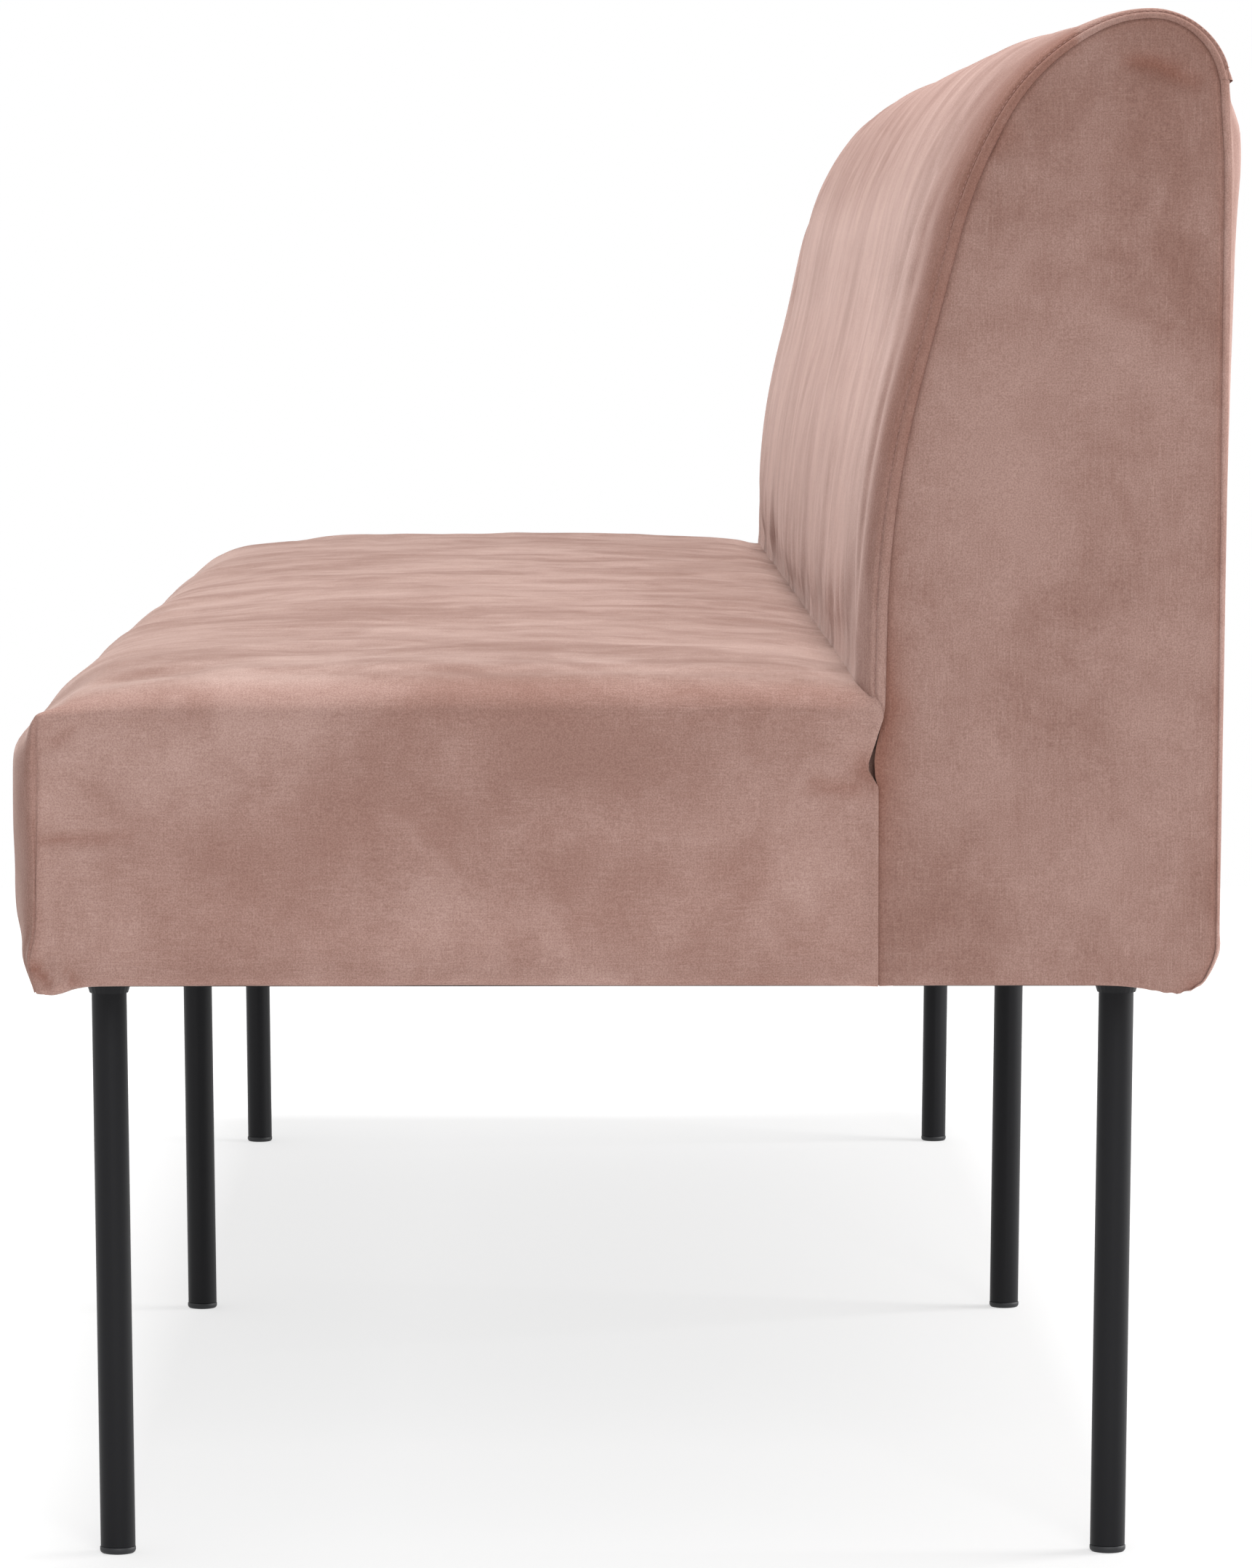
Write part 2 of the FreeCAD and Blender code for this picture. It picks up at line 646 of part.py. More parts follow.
def make_seat_frame():
    """A box of rails, two rails across it and a block over each front leg."""
    rail = "Sizes.rail_thickness"
    height = "Sizes.seat_rail_height"
    floor = "Places.timber_floor"
    inner_depth = "Places.seat_frame_rear - Places.seat_frame_front - 2 * Sizes.rail_thickness"
    inner_front = "Places.seat_frame_front + Sizes.rail_thickness"
    full = "2 * Places.frame_half"
    front = block("front_rail", "-Places.frame_half", "Places.seat_frame_front", floor, full, rail, height)
    rear_y = "Places.seat_frame_rear - Sizes.rail_thickness"
    rear = block("rear_rail", "-Places.frame_half", rear_y, floor, full, rail, height)
    left = block("left_rail", "-Places.frame_half", inner_front, floor, rail, inner_depth, height)
    right_x = "Places.frame_half - Sizes.rail_thickness"
    right = block("right_rail", right_x, inner_front, floor, rail, inner_depth, height)
    drilled("seat_front_rail", front, screw_holes)
    drilled("seat_rear_rail", rear, bolt_bores)
    drilled("seat_end_rail_left", left, screw_holes)
    drilled("seat_end_rail_right", right, screw_holes)
    for side, sign in (("left", "-"), ("right", "+")):
        x = "%sSizes.bay_spacing - Sizes.rail_thickness / 2" % sign
        cross = block("cross_" + side, x, inner_front, floor, rail, inner_depth, "Sizes.cross_rail_height")
        keep(cross, "seat_cross_rail_" + side)
    make_blocks("front", inner_front, "Sizes.block_depth")


def make_blocks(row, y, depth_y):
    """A block over each leg of a row, against its rail and, at the ends, against the end rail."""
    inner = "Places.frame_half - Sizes.rail_thickness"
    free = "Places.outer_leg_line - Sizes.block_reach"
    spans = {
        "left": ("-(%s)" % inner, "%s - (%s)" % (inner, free)),
        "middle": ("-Sizes.block_reach", "2 * Sizes.block_reach"),
        "right": (free, "%s - (%s)" % (inner, free)),
    }
    for side, (x, length) in spans.items():
        name = "%s_block_%s" % (row, side)
        timber = block(name, x, y, "Places.timber_floor", length, depth_y, "Sizes.block_height")
        drilled("leg_block_%s_%s" % (row, side), timber, screw_holes)


make_seat_frame()


def make_seat_webbing():
    """Flat straps from the front rail to the rear rail, evenly spread along the seat."""
    count = int(size("seat_webbing_count"))
    pitch = 2 * (place("frame_half") - size("rail_thickness")) / count
    width = size("seat_webbing_width")
    low_z = timber_floor + size("seat_rail_height")
    margin = size("webbing_margin")
    straps = []
    for index in range(count):
        x = (index - (count - 1) / 2) * pitch
        low = Vector(x - width / 2, place("seat_frame_front") + margin, low_z)
        high = Vector(x + width / 2, place("seat_frame_rear") - margin, low_z + size("webbing_thickness"))
        straps.append(solid_box(low, high))
    keep(shaped("seat_straps", Part.makeCompound(straps)), "seat_webbing")


make_seat_webbing()

# Soft forms of the seat


def edge_drop(distance):
    """How far the seat's top has rounded off at a distance from an end."""
    radius = size("end_edge_radius")
    if distance >= radius:
        return 0
    return radius - math.sqrt(radius ** 2 - (radius - distance) ** 2)


def seat_outline(distance):
    """The seat's outline at a distance from an end: it swells from the flat end seam to the full crown."""
    full = swell(distance, size("seat_crown_run"))
    thinnest = size("soft_clearance")
    crown = max(size("front_crown") * full, thinnest)
    sagitta = max(size("seat_top_crown") * full, thinnest)
    rise = size("front_crown_rise")
    top = size("seat_height") - edge_drop(distance)
    corner = size("corner_edge_radius")
    front_radius = corner + (size("front_edge_radius") - corner) * full
    rear_radius = size("seat_rear_radius") if distance > 0 else corner
    flat = joint - front_seam + crown - front_radius - rear_radius
    tilt = math.degrees(2 * math.atan(2 * sagitta / flat))
    crown_radius = (crown ** 2 + rise ** 2) / (2 * crown)
    outline = Outline(front_seam, size("underside_height"), -math.degrees(math.asin(rise / crown_radius)))
    outline.arc(crown_radius, 0)
    outline.line_to(top - turn_rise(front_radius, 0, 90 - tilt))
    outline.arc(front_radius, 90 - tilt)
    start = outline.spots[-1][0]
    flat = joint - turn_run(rear_radius, 90 + tilt, 180) - start
    outline.arc(flat / (2 * math.sin(math.radians(tilt))), 90 + tilt)
    outline.arc(rear_radius, 180)
    outline.line_to(size("underside_height"))
    return outline


def seat_solid(inset):
    """The seat's soft form, moved inwards by the inset on every side."""
    run = size("seat_crown_run")
    radius = size("end_edge_radius")
    stations = []
    edge = radius * (1 - math.sqrt(0.5))
    for distance in (0, edge, radius, run / 2, run):
        outline = seat_outline(distance)
        stations.append((distance, lambda x, shape=outline: shape.wire(x, inset)))
    return trimmed(mirrored_loft(stations, half_length - inset), size("underside_height") + inset)


def hem_opening(low_y, high_y, half_span):
    """What the turned-under hem leaves open below the frame."""
    low = Vector(-half_span, low_y, size("underside_height") - OVERRUN)
    high = Vector(half_span, high_y, timber_floor + size("cover_thickness"))
    return solid_box(low, high)


def plate_windows():
    """The room that the leg plates and their weld beads take in the cloth below the frame."""
    play = size("soft_clearance")
    half = size("plate_length") / 2 + play
    floor = size("underside_height") - size("dust_cover_thickness") - OVERRUN
    windows = []
    for name, x, y, inward in leg_spots():
        near = y - inward * (size("plate_short_side") + play)
        far = y + inward * (size("plate_long_side") + play)
        low = Vector(x - half, min(near, far), floor)
        high = Vector(x + half, max(near, far), timber_floor)
        windows.append(solid_box(low, high))
    return Part.makeCompound(windows)


cloth_windows = plate_windows()
bores = bolt_bores.Shape


def make_seat_cover():
    """One sewn cover over the top, the front, the rear and both ends, with a turned-under hem."""
    thickness = size("cover_thickness")
    hem = size("hem_width")
    cover = seat_solid(0).cut(seat_solid(thickness))
    cover = cover.cut(hem_opening(front_seam + hem, joint - hem, half_length - hem))
    cover = cover.cut(cloth_windows).cut(bores)
    keep(shaped("seat_cover_shell", cover.Solids[0]), "seat_cover")


def make_seat_foam():
    """Foam over the webbing that also pads the front, the rear and the ends of the frame."""
    play = size("soft_clearance")
    foam = seat_solid(size("cover_thickness") + play)
    half = place("frame_half") + play
    webbing_top = timber_floor + size("seat_rail_height") + size("webbing_thickness")
    low = Vector(-half, place("seat_frame_front") - play, size("underside_height"))
    high = Vector(half, place("seat_frame_rear") + play, webbing_top + play)
    foam = foam.cut(solid_box(low, high)).cut(bores)
    keep(shaped("seat_foam_block", foam.Solids[0]), "seat_foam")


make_seat_cover()
make_seat_foam()

# Timber of the back

frame_drop = size("rib_inset") - size("cover_thickness")
rib_wire = back_outline(back_front, 0, frame_drop).wire(0, size("rib_inset"))
core_shape = trimmed(prism(rib_wire, place("frame_half")), timber_floor)
core = shaped("back_core", core_shape)
lumbar_floor = size("seat_height") + size("lumbar_rail_rise")


def front_at(height):
    """Front of the ribs at a height below the shoulder, along the lower stretch and the bend above it."""
    line = Part.makeLine(Vector(0, front_seam, height), Vector(0, rear_seam, height))
    return line.common(core_shape).BoundBox.YMin


def rail_boxes():
    """Label, front, floor, depth and height of the back's four rails, before they follow the outline."""
    rail = size("rail_thickness")
    low = place("timber_floor")
    lumbar_front = front_at(lumbar_floor + size("lumbar_rail_height")) - rail
    top_front = crest_line - size("top_rail_depth") + rail
    top_floor = size("bench_height") - size("crest_crown") - size("rib_inset") - size("top_rail_height")
    rear_front = place("back_frame_rear") - rail
    lower_height = size("back_rail_height")
    return [
        ("back_lower_front_rail", place("back_frame_front") - rail, low, 2 * rail, lower_height),
        ("back_lower_rear_rail", rear_front, low, 2 * rail, lower_height),
        ("back_lumbar_rail", lumbar_front, lumbar_floor, 2 * rail, size("lumbar_rail_height")),
        ("back_top_rail", top_front, top_floor, size("top_rail_depth"), 2 * size("top_rail_height")),
    ]


def make_back_rails():
    """Rails from end rib to end rib whose outer faces follow the back's outline."""
    tools = {"back_lower_front_rail": bolt_bores, "back_lower_rear_rail": screw_holes}
    for label, front, floor, depth_y, height in rail_boxes():
        room = block(
            label + "_room",
            "-Places.bay_half",
            "%.6f" % front,
            "%.6f" % floor,
            "2 * Places.bay_half",
            "%.6f" % depth_y,
            "%.6f" % height,
        )
        rail = common(label + "_shaped", room, core)
        if label in tools:
            drilled(label, rail, tools[label])
        else:
            keep(rail, label)


def make_rib(label, x, notched):
    """A plywood rib cut to the back's side outline, with notches for the rails where they pass it."""
    body = doc.addObject("PartDesign::Body", label + "_body")
    sketch = body.newObject("Sketcher::SketchObject", label + "_outline")
    sketch.AttachmentSupport = (origin_plane(body, "YZ_Plane"), [""])
    sketch.MapMode = "FlatFace"
    section = core_shape.slice(Vector(1, 0, 0), 0)[0]
    for edge in section.Edges:
        start, end = [Vector(spot.Point.y, spot.Point.z, 0) for spot in edge.Vertexes]
        if isinstance(edge.Curve, Part.Line):
            sketch.addGeometry(Part.LineSegment(start, end))
        else:
            middle = edge.valueAt((edge.FirstParameter + edge.LastParameter) / 2)
            sketch.addGeometry(Part.Arc(start, Vector(middle.y, middle.z, 0), end))
    pad = body.newObject("PartDesign::Pad", label + "_pad")
    pad.Profile = sketch
    pad.setExpression("Length", "Sizes.rib_thickness")
    if notched:
        notches = body.newObject("Sketcher::SketchObject", label + "_notches")
        notches.AttachmentSupport = (origin_plane(body, "YZ_Plane"), [""])
        notches.MapMode = "FlatFace"
        play = size("notch_play")
        for name, front, floor, depth_y, height in rail_boxes():
            corners = [
                (front - play, floor - play),
                (front + depth_y + play, floor - play),
                (front + depth_y + play, floor + height + play),
                (front - play, floor + height + play),
            ]
            add_polygon(notches, corners)
        doc.recompute()
        pocket = body.newObject("PartDesign::Pocket", label + "_pocket")
        pocket.Profile = notches
        pocket.Type = 1
        pocket.Midplane = True
        whole = pad.Shape.Volume
        doc.recompute()
        if pocket.Shape.Volume >= whole:
            raise ValueError("the notches of %s cut nothing" % label)
    body.Placement = FreeCAD.Placement(Vector(x, 0, 0), FreeCAD.Rotation())
    keep(body, label)


make_back_rails()
thick = size("rib_thickness")
make_rib("back_rib_end_left", -place("frame_half"), False)
make_rib("back_rib_inner_left", -size("bay_spacing") - thick / 2, True)
make_rib("back_rib_inner_right", size("bay_spacing") - thick / 2, True)
make_rib("back_rib_end_right", place("bay_half"), False)
make_blocks(
    "rear",
    "Places.back_frame_front + Sizes.rail_thickness",
    "Places.back_frame_rear - Places.back_frame_front - 2 * Sizes.rail_thickness",
)


def make_back_webbing():
    """Upright straps over the front of the rails, from the lower front rail to the crest."""
    inset = size("rib_inset")
    outline = back_outline(back_front, 0)
    outer = prism(outline.wire(0, inset - size("webbing_thickness")), place("frame_half"))
    inner = prism(outline.wire(0, inset), place("frame_half") + OVERRUN)
    low_z = timber_floor + size("back_rail_height") - size("webbing_lap")
    count = int(size("back_webbing_count"))
    pitch = 2 * place("bay_half") / count
    band = outer.cut(inner)
    width = size("back_webbing_width")
    straps = []
    for index in range(count):
        x = (index - (count - 1) / 2) * pitch
        low = Vector(x - width / 2, back_front, low_z)
        high = Vector(x + width / 2, crest_line, size("bench_height"))
        straps.append(band.common(solid_box(low, high)).Solids[0])
    keep(shaped("back_straps", Part.makeCompound(straps)), "back_webbing")


make_back_webbing()

# Soft forms of the back

back_end = half_length - size("cover_thickness") - size("soft_clearance")


def back_solid(inset, overhang=0):
    """The back's soft form between the end panels, moved inwards by the inset."""
    run = size("back_crown_run")
    stations = [(-overhang, 0)] if overhang else []
    stations += [(share * run, swell(share * run, run)) for share in SWELL_SHARES]
    wires = []
    for distance, crown in stations:
        outline = back_outline(back_front, crown)
        wires.append((distance, lambda x, shape=outline: shape.wire(x, inset)))
    solid = mirrored_loft(wires, back_end).cut(tuck(inset))
    return trimmed(solid, size("underside_height") + inset)


def tuck(inset):
    """The room before the back's lower part, which the seat fills: its upper edge draws the swell in."""
    front = seam_at_tuck - size("back_front_crown") - size("soft_clearance")
    plane = back_front + inset
    rise = tuck_high - tuck_low
    step = back_front - front
    radius = (rise ** 2 + step ** 2) / (2 * step)
    centre = front + radius
    reach = radius - inset
    drop = math.sqrt(reach ** 2 - (centre - plane) ** 2)
    middle = math.asin(drop / reach) / 2
    low = size("underside_height") - OVERRUN
    far = front_seam
    points = [Vector(0, plane, low), Vector(0, plane, tuck_high - drop), Vector(0, front + inset, tuck_high)]
    half = Vector(0, centre - reach * math.cos(middle), tuck_high - reach * math.sin(middle))
    edges = [
        Part.LineSegment(points[0], points[1]).toShape(),
        Part.Arc(points[1], half, points[2]).toShape(),
        Part.LineSegment(points[2], Vector(0, far, tuck_high)).toShape(),
        Part.LineSegment(Vector(0, far, tuck_high), Vector(0, far, low)).toShape(),
        Part.LineSegment(Vector(0, far, low), points[0]).toShape(),
    ]
    return prism(Part.Wire(edges), half_length + OVERRUN)


def make_back_covers():
    """A band over the front and the top, and a rear panel sewn under its hem."""
    thickness = size("cover_thickness")
    hem = size("hem_width")
    shell = back_solid(0).cut(back_solid(thickness, OVERRUN))
    hem_rear = rear_seam - size("rear_foot_radius") - hem
    shell = shell.cut(hem_opening(back_front + hem, hem_rear, half_length))
    shell = shell.cut(cloth_windows).cut(bores)
    hem_line = size("bench_height") - size("rear_hem_drop")
    low = Vector(-half_length, crest_line, 0)
    behind = depth / 2 + OVERRUN
    rear_room = solid_box(low, Vector(half_length, behind, hem_line))
    front_room = solid_box(low, Vector(half_length, behind, hem_line + size("soft_clearance")))
    keep(shaped("back_band", shell.cut(front_room).Solids[0]), "back_front_cover")
    keep(shaped("back_rear", shell.common(rear_room).Solids[0]), "back_rear_panel")


def make_end_panel(label, sign):
    """A flat end panel inside the band's end seam, with its own turned-under hem."""
    thickness = size("cover_thickness")
    play = size("soft_clearance")
    panel = prism(back_outline(back_front, 0).wire(0), thickness / 2)
    panel.translate(Vector(sign * (half_length - thickness / 2), 0, 0))
    inner = sign * (half_length - size("hem_width"))
    outer = sign * (half_length - thickness / 2)
    hem_front = back_front + size("hem_width") + play
    hem_rear = rear_seam - size("rear_foot_radius") - size("hem_width") - play
    low = Vector(min(inner, outer), hem_front, size("underside_height"))
    high = Vector(max(inner, outer), hem_rear, timber_floor)
    panel = panel.fuse(solid_box(low, high)).removeSplitter().cut(cloth_windows)
    keep(shaped(label + "_cloth", panel.Solids[0]), label)


def make_back_foam():
    """Foam over the front, the top and the rear of the frame, thin at both ends."""
    play = size("soft_clearance")
    foam = back_solid(size("cover_thickness") + play)
    cavity_inset = size("rib_inset") - size("webbing_thickness") - play
    cavity = prism(back_outline(back_front, 0).wire(0, cavity_inset), place("frame_half") + play)
    low = Vector(-place("frame_half") - play, back_front + cavity_inset, size("underside_height"))
    high_y = rear_seam - cavity_inset
    high = Vector(place("frame_half") + play, high_y, timber_floor + size("rear_foot_radius"))
    foam = foam.cut(cavity).cut(solid_box(low, high)).cut(bores)
    keep(shaped("back_foam_jacket", foam.Solids[0]), "back_foam")


make_back_covers()
make_end_panel("back_end_panel_left", -1)
make_end_panel("back_end_panel_right", 1)
make_back_foam()


def make_dust_cover(label, low_y, high_y):
    """Cloth below a frame, with a window for each leg plate."""
    margin = size("dust_cover_margin")
    floor = size("underside_height") - size("dust_cover_thickness")
    low = Vector(margin - half_length, low_y + margin, floor)
    high = Vector(half_length - margin, high_y - margin, size("underside_height"))
    cloth = solid_box(low, high).cut(cloth_windows)
    keep(shaped(label + "_cloth", cloth.Solids[0]), label)


make_dust_cover("seat_dust_cover", front_seam, joint)
make_dust_cover("back_dust_cover", back_front, rear_seam - size("rear_foot_radius"))

# Checks and files

doc.recompute()
for thing in doc.Objects:
    if "Invalid" in thing.State or "Error" in thing.State:
        raise ValueError("%s failed: %s" % (thing.Name, thing.State))
for label, thing in pieces.items():
    if thing.Shape.isNull() or not thing.Shape.isValid():
        raise ValueError("%s has no valid shape" % label)
    if not thing.Shape.Solids:
        raise ValueError("%s has no solid" % label)

for label, thing in pieces.items():
    thing.Shape.exportStep("parts/%s.step" % label)

whole = Part.makeCompound([thing.Shape for thing in pieces.values()]).BoundBox
print("%d sub-parts" % len(pieces))
print("length %.1f, depth %.1f, height %.1f" % (whole.XLength, whole.YLength, whole.ZLength))
print("front %.2f, rear %.2f, joint %.2f, rear seam %.2f" % (whole.YMin, whole.YMax, joint, rear_seam))
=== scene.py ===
# %% [markdown]
# A dining bench in velvet, dressed over its construction model.
# The frame brings every rail, leg and screw in its place. What a camera sees is mostly cloth, so this
# lesson spends its time on the sewn covers: how they swell, where their seams pull and how velvet shines.

# %% Load the frame
import json
import math
import time

import bmesh
import bpy
from mathutils import Matrix, Vector, noise
from mathutils.bvhtree import BVHTree
from mathutils.kdtree import KDTree


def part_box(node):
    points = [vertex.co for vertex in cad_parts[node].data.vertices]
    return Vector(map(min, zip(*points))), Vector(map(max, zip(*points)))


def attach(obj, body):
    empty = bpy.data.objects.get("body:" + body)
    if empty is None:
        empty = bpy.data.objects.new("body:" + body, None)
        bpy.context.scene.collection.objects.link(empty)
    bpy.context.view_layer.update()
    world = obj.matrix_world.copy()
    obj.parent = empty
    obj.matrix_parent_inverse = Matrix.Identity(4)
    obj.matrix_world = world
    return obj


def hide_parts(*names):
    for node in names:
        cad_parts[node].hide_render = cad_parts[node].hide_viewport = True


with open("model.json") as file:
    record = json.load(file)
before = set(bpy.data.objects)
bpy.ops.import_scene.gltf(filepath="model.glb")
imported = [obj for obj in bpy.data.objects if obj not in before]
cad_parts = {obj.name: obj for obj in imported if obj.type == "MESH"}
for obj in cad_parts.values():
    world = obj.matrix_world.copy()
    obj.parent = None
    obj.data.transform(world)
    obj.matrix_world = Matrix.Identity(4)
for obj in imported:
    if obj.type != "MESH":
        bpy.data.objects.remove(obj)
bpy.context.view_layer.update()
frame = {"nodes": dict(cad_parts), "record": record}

nodes = frame["nodes"]

# %% [markdown]
# Sizes first. They are the same real sizes as in the construction model, here in metres.
# HEM is the height of the covers' lower edge, HEM_TURN is how far cloth is turned in under the frame, and
# JOINT is the line between seat and back. A point of the back with a Y over BEHIND belongs to its rear.

# %% Sizes of the covers
HALF = 1.0
SEAT_TOP = 0.480
HEM = 0.316
TOP = 0.838
FRONT_CROWN = 0.017
FRONT_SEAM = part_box("seat_cover")[0].y + FRONT_CROWN
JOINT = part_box("seat_cover")[1].y
BACK_FRONT = JOINT + 0.0003
BACK_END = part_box("back_front_cover")[1].x
REAR_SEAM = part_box("back_end_panel_right")[1].y
REAR_HEM = TOP - 0.041
HEM_TURN = 0.019
BEHIND = 0.27
SIDES = (("left", -1), ("right", 1))
print("front seam", round(FRONT_SEAM, 4), "joint", round(JOINT, 4), "rear seam", round(REAR_SEAM, 4))


def swell(distance, run):
    """Share of the full crown at a distance from an end: a quarter ellipse."""
    rest = 1 - min(max(distance, 0), run) / run
    return math.sqrt(1 - rest * rest)


def smooth(low, high, value):
    """0 below low, 1 above high and a soft step between."""
    share = min(max((value - low) / (high - low), 0), 1)
    return share * share * (3 - 2 * share)


def hump(distance, width):
    """1 at no distance, falling softly to nothing at about twice the width."""
    return math.exp(-(distance / width) ** 2)


def between(value, points):
    """A value read off a line through points."""
    for (low, first), (high, last) in zip(points, points[1:]):
        if value < high:
            return first + (last - first) * max(value - low, 0) / (high - low)
    return points[-1][1]


# %% [markdown]
# A side outline is drawn as a maker draws a template: straight runs and bends, each starting in the
# direction in which the last one ended. In a bmesh, a run is an extruded vertex and a bend is a spin.
# Headings are measured in degrees from straight up towards the rear, as a maker would turn a template.
# Vertices stand close where a seam or a fold needs them, and wider where the cloth lies calm.

# %% A template drawn with runs and bends
def even(count):
    """Shares of a length in equal steps."""
    return [(index + 1) / count for index in range(count)]


def spread(length, first, widest, growth=1.35):
    """Shares of a length: short steps at both ends that grow to the widest step between them."""
    places, step = [0.0], first
    while places[-1] + step < length / 2:
        places.append(places[-1] + step)
        step = min(step * growth, widest)
    places += [length - place for place in reversed(places)]
    return [place / length for place in places[1:]]


class Template:
    """A chain of vertices in the side plane."""

    def __init__(self, y, z, heading):
        self.bm = bmesh.new()
        self.tip = self.bm.verts.new((0, y, z))
        self.chain = [self.tip]
        self.heading = math.radians(heading)

    def run(self, length, shares):
        """Goes straight on, with a vertex at each share of the length."""
        way = Vector((0, math.sin(self.heading), math.cos(self.heading)))
        done = 0
        for share in shares:
            made = bmesh.ops.extrude_vert_indiv(self.bm, verts=[self.tip])["verts"]
            bmesh.ops.translate(self.bm, verts=made, vec=way * (share - done) * length)
            self.tip, done = made[0], share
            self.chain.append(self.tip)
        return self

    def bend(self, radius, heading, shares):
        """Turns to a new heading on a radius, with a vertex at each share of the turn."""
        turn = math.radians(heading) - self.heading
        side = Vector((0, math.cos(self.heading), -math.sin(self.heading)))
        centre = self.tip.co + side * radius
        done = 0
        for share in shares:
            made = bmesh.ops.spin(self.bm, geom=[self.tip], cent=centre, axis=(1, 0, 0),
                                  angle=-turn * (share - done), steps=1)["geom_last"]
            self.tip = [part for part in made if isinstance(part, bmesh.types.BMVert)][0]
            done = share
            self.chain.append(self.tip)
        self.heading = math.radians(heading)
        return self

    def points(self):
        """Hands over the places of the chain and lets the bmesh go."""
        found = [vert.co.copy() for vert in self.chain]
        self.bm.free()
        return found


def rise(radius, start, end):
    """How high a bend climbs between two headings."""
    return radius * (math.sin(math.radians(end)) - math.sin(math.radians(start)))


print("a run of 0.4 m in a spread has", len(spread(0.4, 0.0014, 0.0078)), "steps")


# %% [markdown]
# The back's outline is needed twice: where it is sewn at the ends, and in its full swell. Both take the
# same number of steps, so that the cloth can glide from one to the other. At the bottom the cloth is
# turned under the frame, and near an end that turn gets narrower, as a mitred corner does.

# %% Outline of the back
HEM_STEPS, FOLD_STEPS = 3, 2
LOWER_LEAN, UPPER_LEAN, BROW_LEAN, CREST_LEAN = 1.2, 14.8, 30, 62
LOWER_BEND, UPPER_BEND, BROW_BEND, CREST_BEND = 0.565, 0.260, 0.114, 0.070
REAR_BEND, REAR_FOOT = 0.0357, 0.024
FRONT_SWELL, TOP_SWELL, REAR_SWELL = 0.016, 0.0075, 0.007
LEAST_TURN = 0.0001


def back_template(crown, turn=HEM_TURN):
    """The back from its turned-under front hem over the crest to its rear hem."""
    growth = crown * TOP_SWELL / (1 - math.sin(math.radians(BROW_LEAN)))
    brow, crest_radius = BROW_BEND + growth, CREST_BEND + growth
    crest = TOP - TOP_SWELL * (1 - crown)
    start = crest - rise(crest_radius, CREST_LEAN, 90) - rise(brow, BROW_LEAN, CREST_LEAN)
    start -= rise(UPPER_BEND, UPPER_LEAN, BROW_LEAN)
    fold = 0.15 * turn
    drawn = Template(BACK_FRONT - crown * FRONT_SWELL + turn, HEM, -90)
    drawn.run(turn - fold, even(HEM_STEPS)).bend(fold, LOWER_LEAN, even(FOLD_STEPS))
    drawn.run((SEAT_TOP + 0.028 - drawn.tip.co.z) / math.cos(math.radians(LOWER_LEAN)), even(30))
    drawn.bend(LOWER_BEND, UPPER_LEAN, even(17))
    drawn.run((start - drawn.tip.co.z) / math.cos(math.radians(UPPER_LEAN)), even(8))
    drawn.bend(UPPER_BEND, BROW_LEAN, even(9)).bend(brow, CREST_LEAN, even(9))
    drawn.bend(crest_radius, 90, even(6))
    rear_radius = REAR_BEND + crown * 0.028 - growth * math.cos(math.radians(BROW_LEAN))
    rake = 0.3 + math.degrees(math.atan(crown * REAR_SWELL / (crest - rear_radius - HEM)))
    drawn.bend(rear_radius, 180 + rake, even(12))
    drawn.run((drawn.tip.co.z - HEM - REAR_FOOT) / math.cos(math.radians(rake)), even(52))
    drawn.bend(REAR_FOOT, 270, even(6)).run(turn, even(HEM_STEPS))
    return drawn.points()


end_template = back_template(0)
full_template = back_template(1)
mitred_template = back_template(0, LEAST_TURN)
FIRST = HEM_STEPS + FOLD_STEPS
LAST = len(end_template) - 1 - HEM_STEPS
CREST = max(range(len(end_template)), key=lambda step: end_template[step].z)
HEM_STEP = min(range(CREST, LAST), key=lambda step: abs(end_template[step].z - REAR_HEM))
print("back template", len(end_template), "points, crest", round(full_template[CREST].z, 4),
      "band's hem at", round(end_template[HEM_STEP].z, 4))

# %% [markdown]
# A cover is a strip: the template is extruded from one end of the bench to the other. The stations stand
# close together near the ends, where the padding swells and the seams pull, and wider in the middle.

# %% Strips of cloth
def stations(half, near):
    """Places along X from the left end to the right, from distances to the nearest end."""
    wide = spread(2 * half - 2 * near[-1], 0.012, 0.019)
    middle = [near[-1] - half + share * (2 * half - 2 * near[-1]) for share in wide[:-1]]
    return [place - half for place in near] + middle + [half - place for place in reversed(near)]


def extrude_row(bm, row, places):
    """Extrudes a row of vertices once and puts the new row in its places."""
    edges = [bm.edges.get(pair) for pair in zip(row, row[1:])]
    made = bmesh.ops.extrude_edge_only(bm, edges=edges)["geom"]
    fresh = {part for part in made if isinstance(part, bmesh.types.BMVert)}
    partner = {}
    for vert in fresh:
        for edge in vert.link_edges:
            if edge.other_vert(vert) not in fresh:
                partner[edge.other_vert(vert)] = vert
    row = [partner[vert] for vert in row]
    for vert, place in zip(row, places):
        vert.co = place
    return row


def make_grid(bm, across, along, place):
    """A patch of cloth: place(step, spot) says where each vertex of a row goes."""
    row = [bm.verts.new(place(step, along[0])) for step in across]
    for pair in zip(row, row[1:]):
        bm.edges.new(pair)
    for spot in along[1:]:
        row = extrude_row(bm, row, [place(step, spot) for step in across])


def finish_mesh(bm, name, merge=2e-5):
    """Closes a bmesh into an object with outward faces and smooth shading."""
    bmesh.ops.remove_doubles(bm, verts=bm.verts, dist=merge)
    bmesh.ops.dissolve_degenerate(bm, edges=bm.edges, dist=merge)
    bmesh.ops.recalc_face_normals(bm, faces=bm.faces)
    mesh = bpy.data.meshes.new(name)
    bm.to_mesh(mesh)
    bm.free()
    mesh.shade_smooth()
    piece = bpy.data.objects.new(name, mesh)
    bpy.context.scene.collection.objects.link(piece)
    return piece


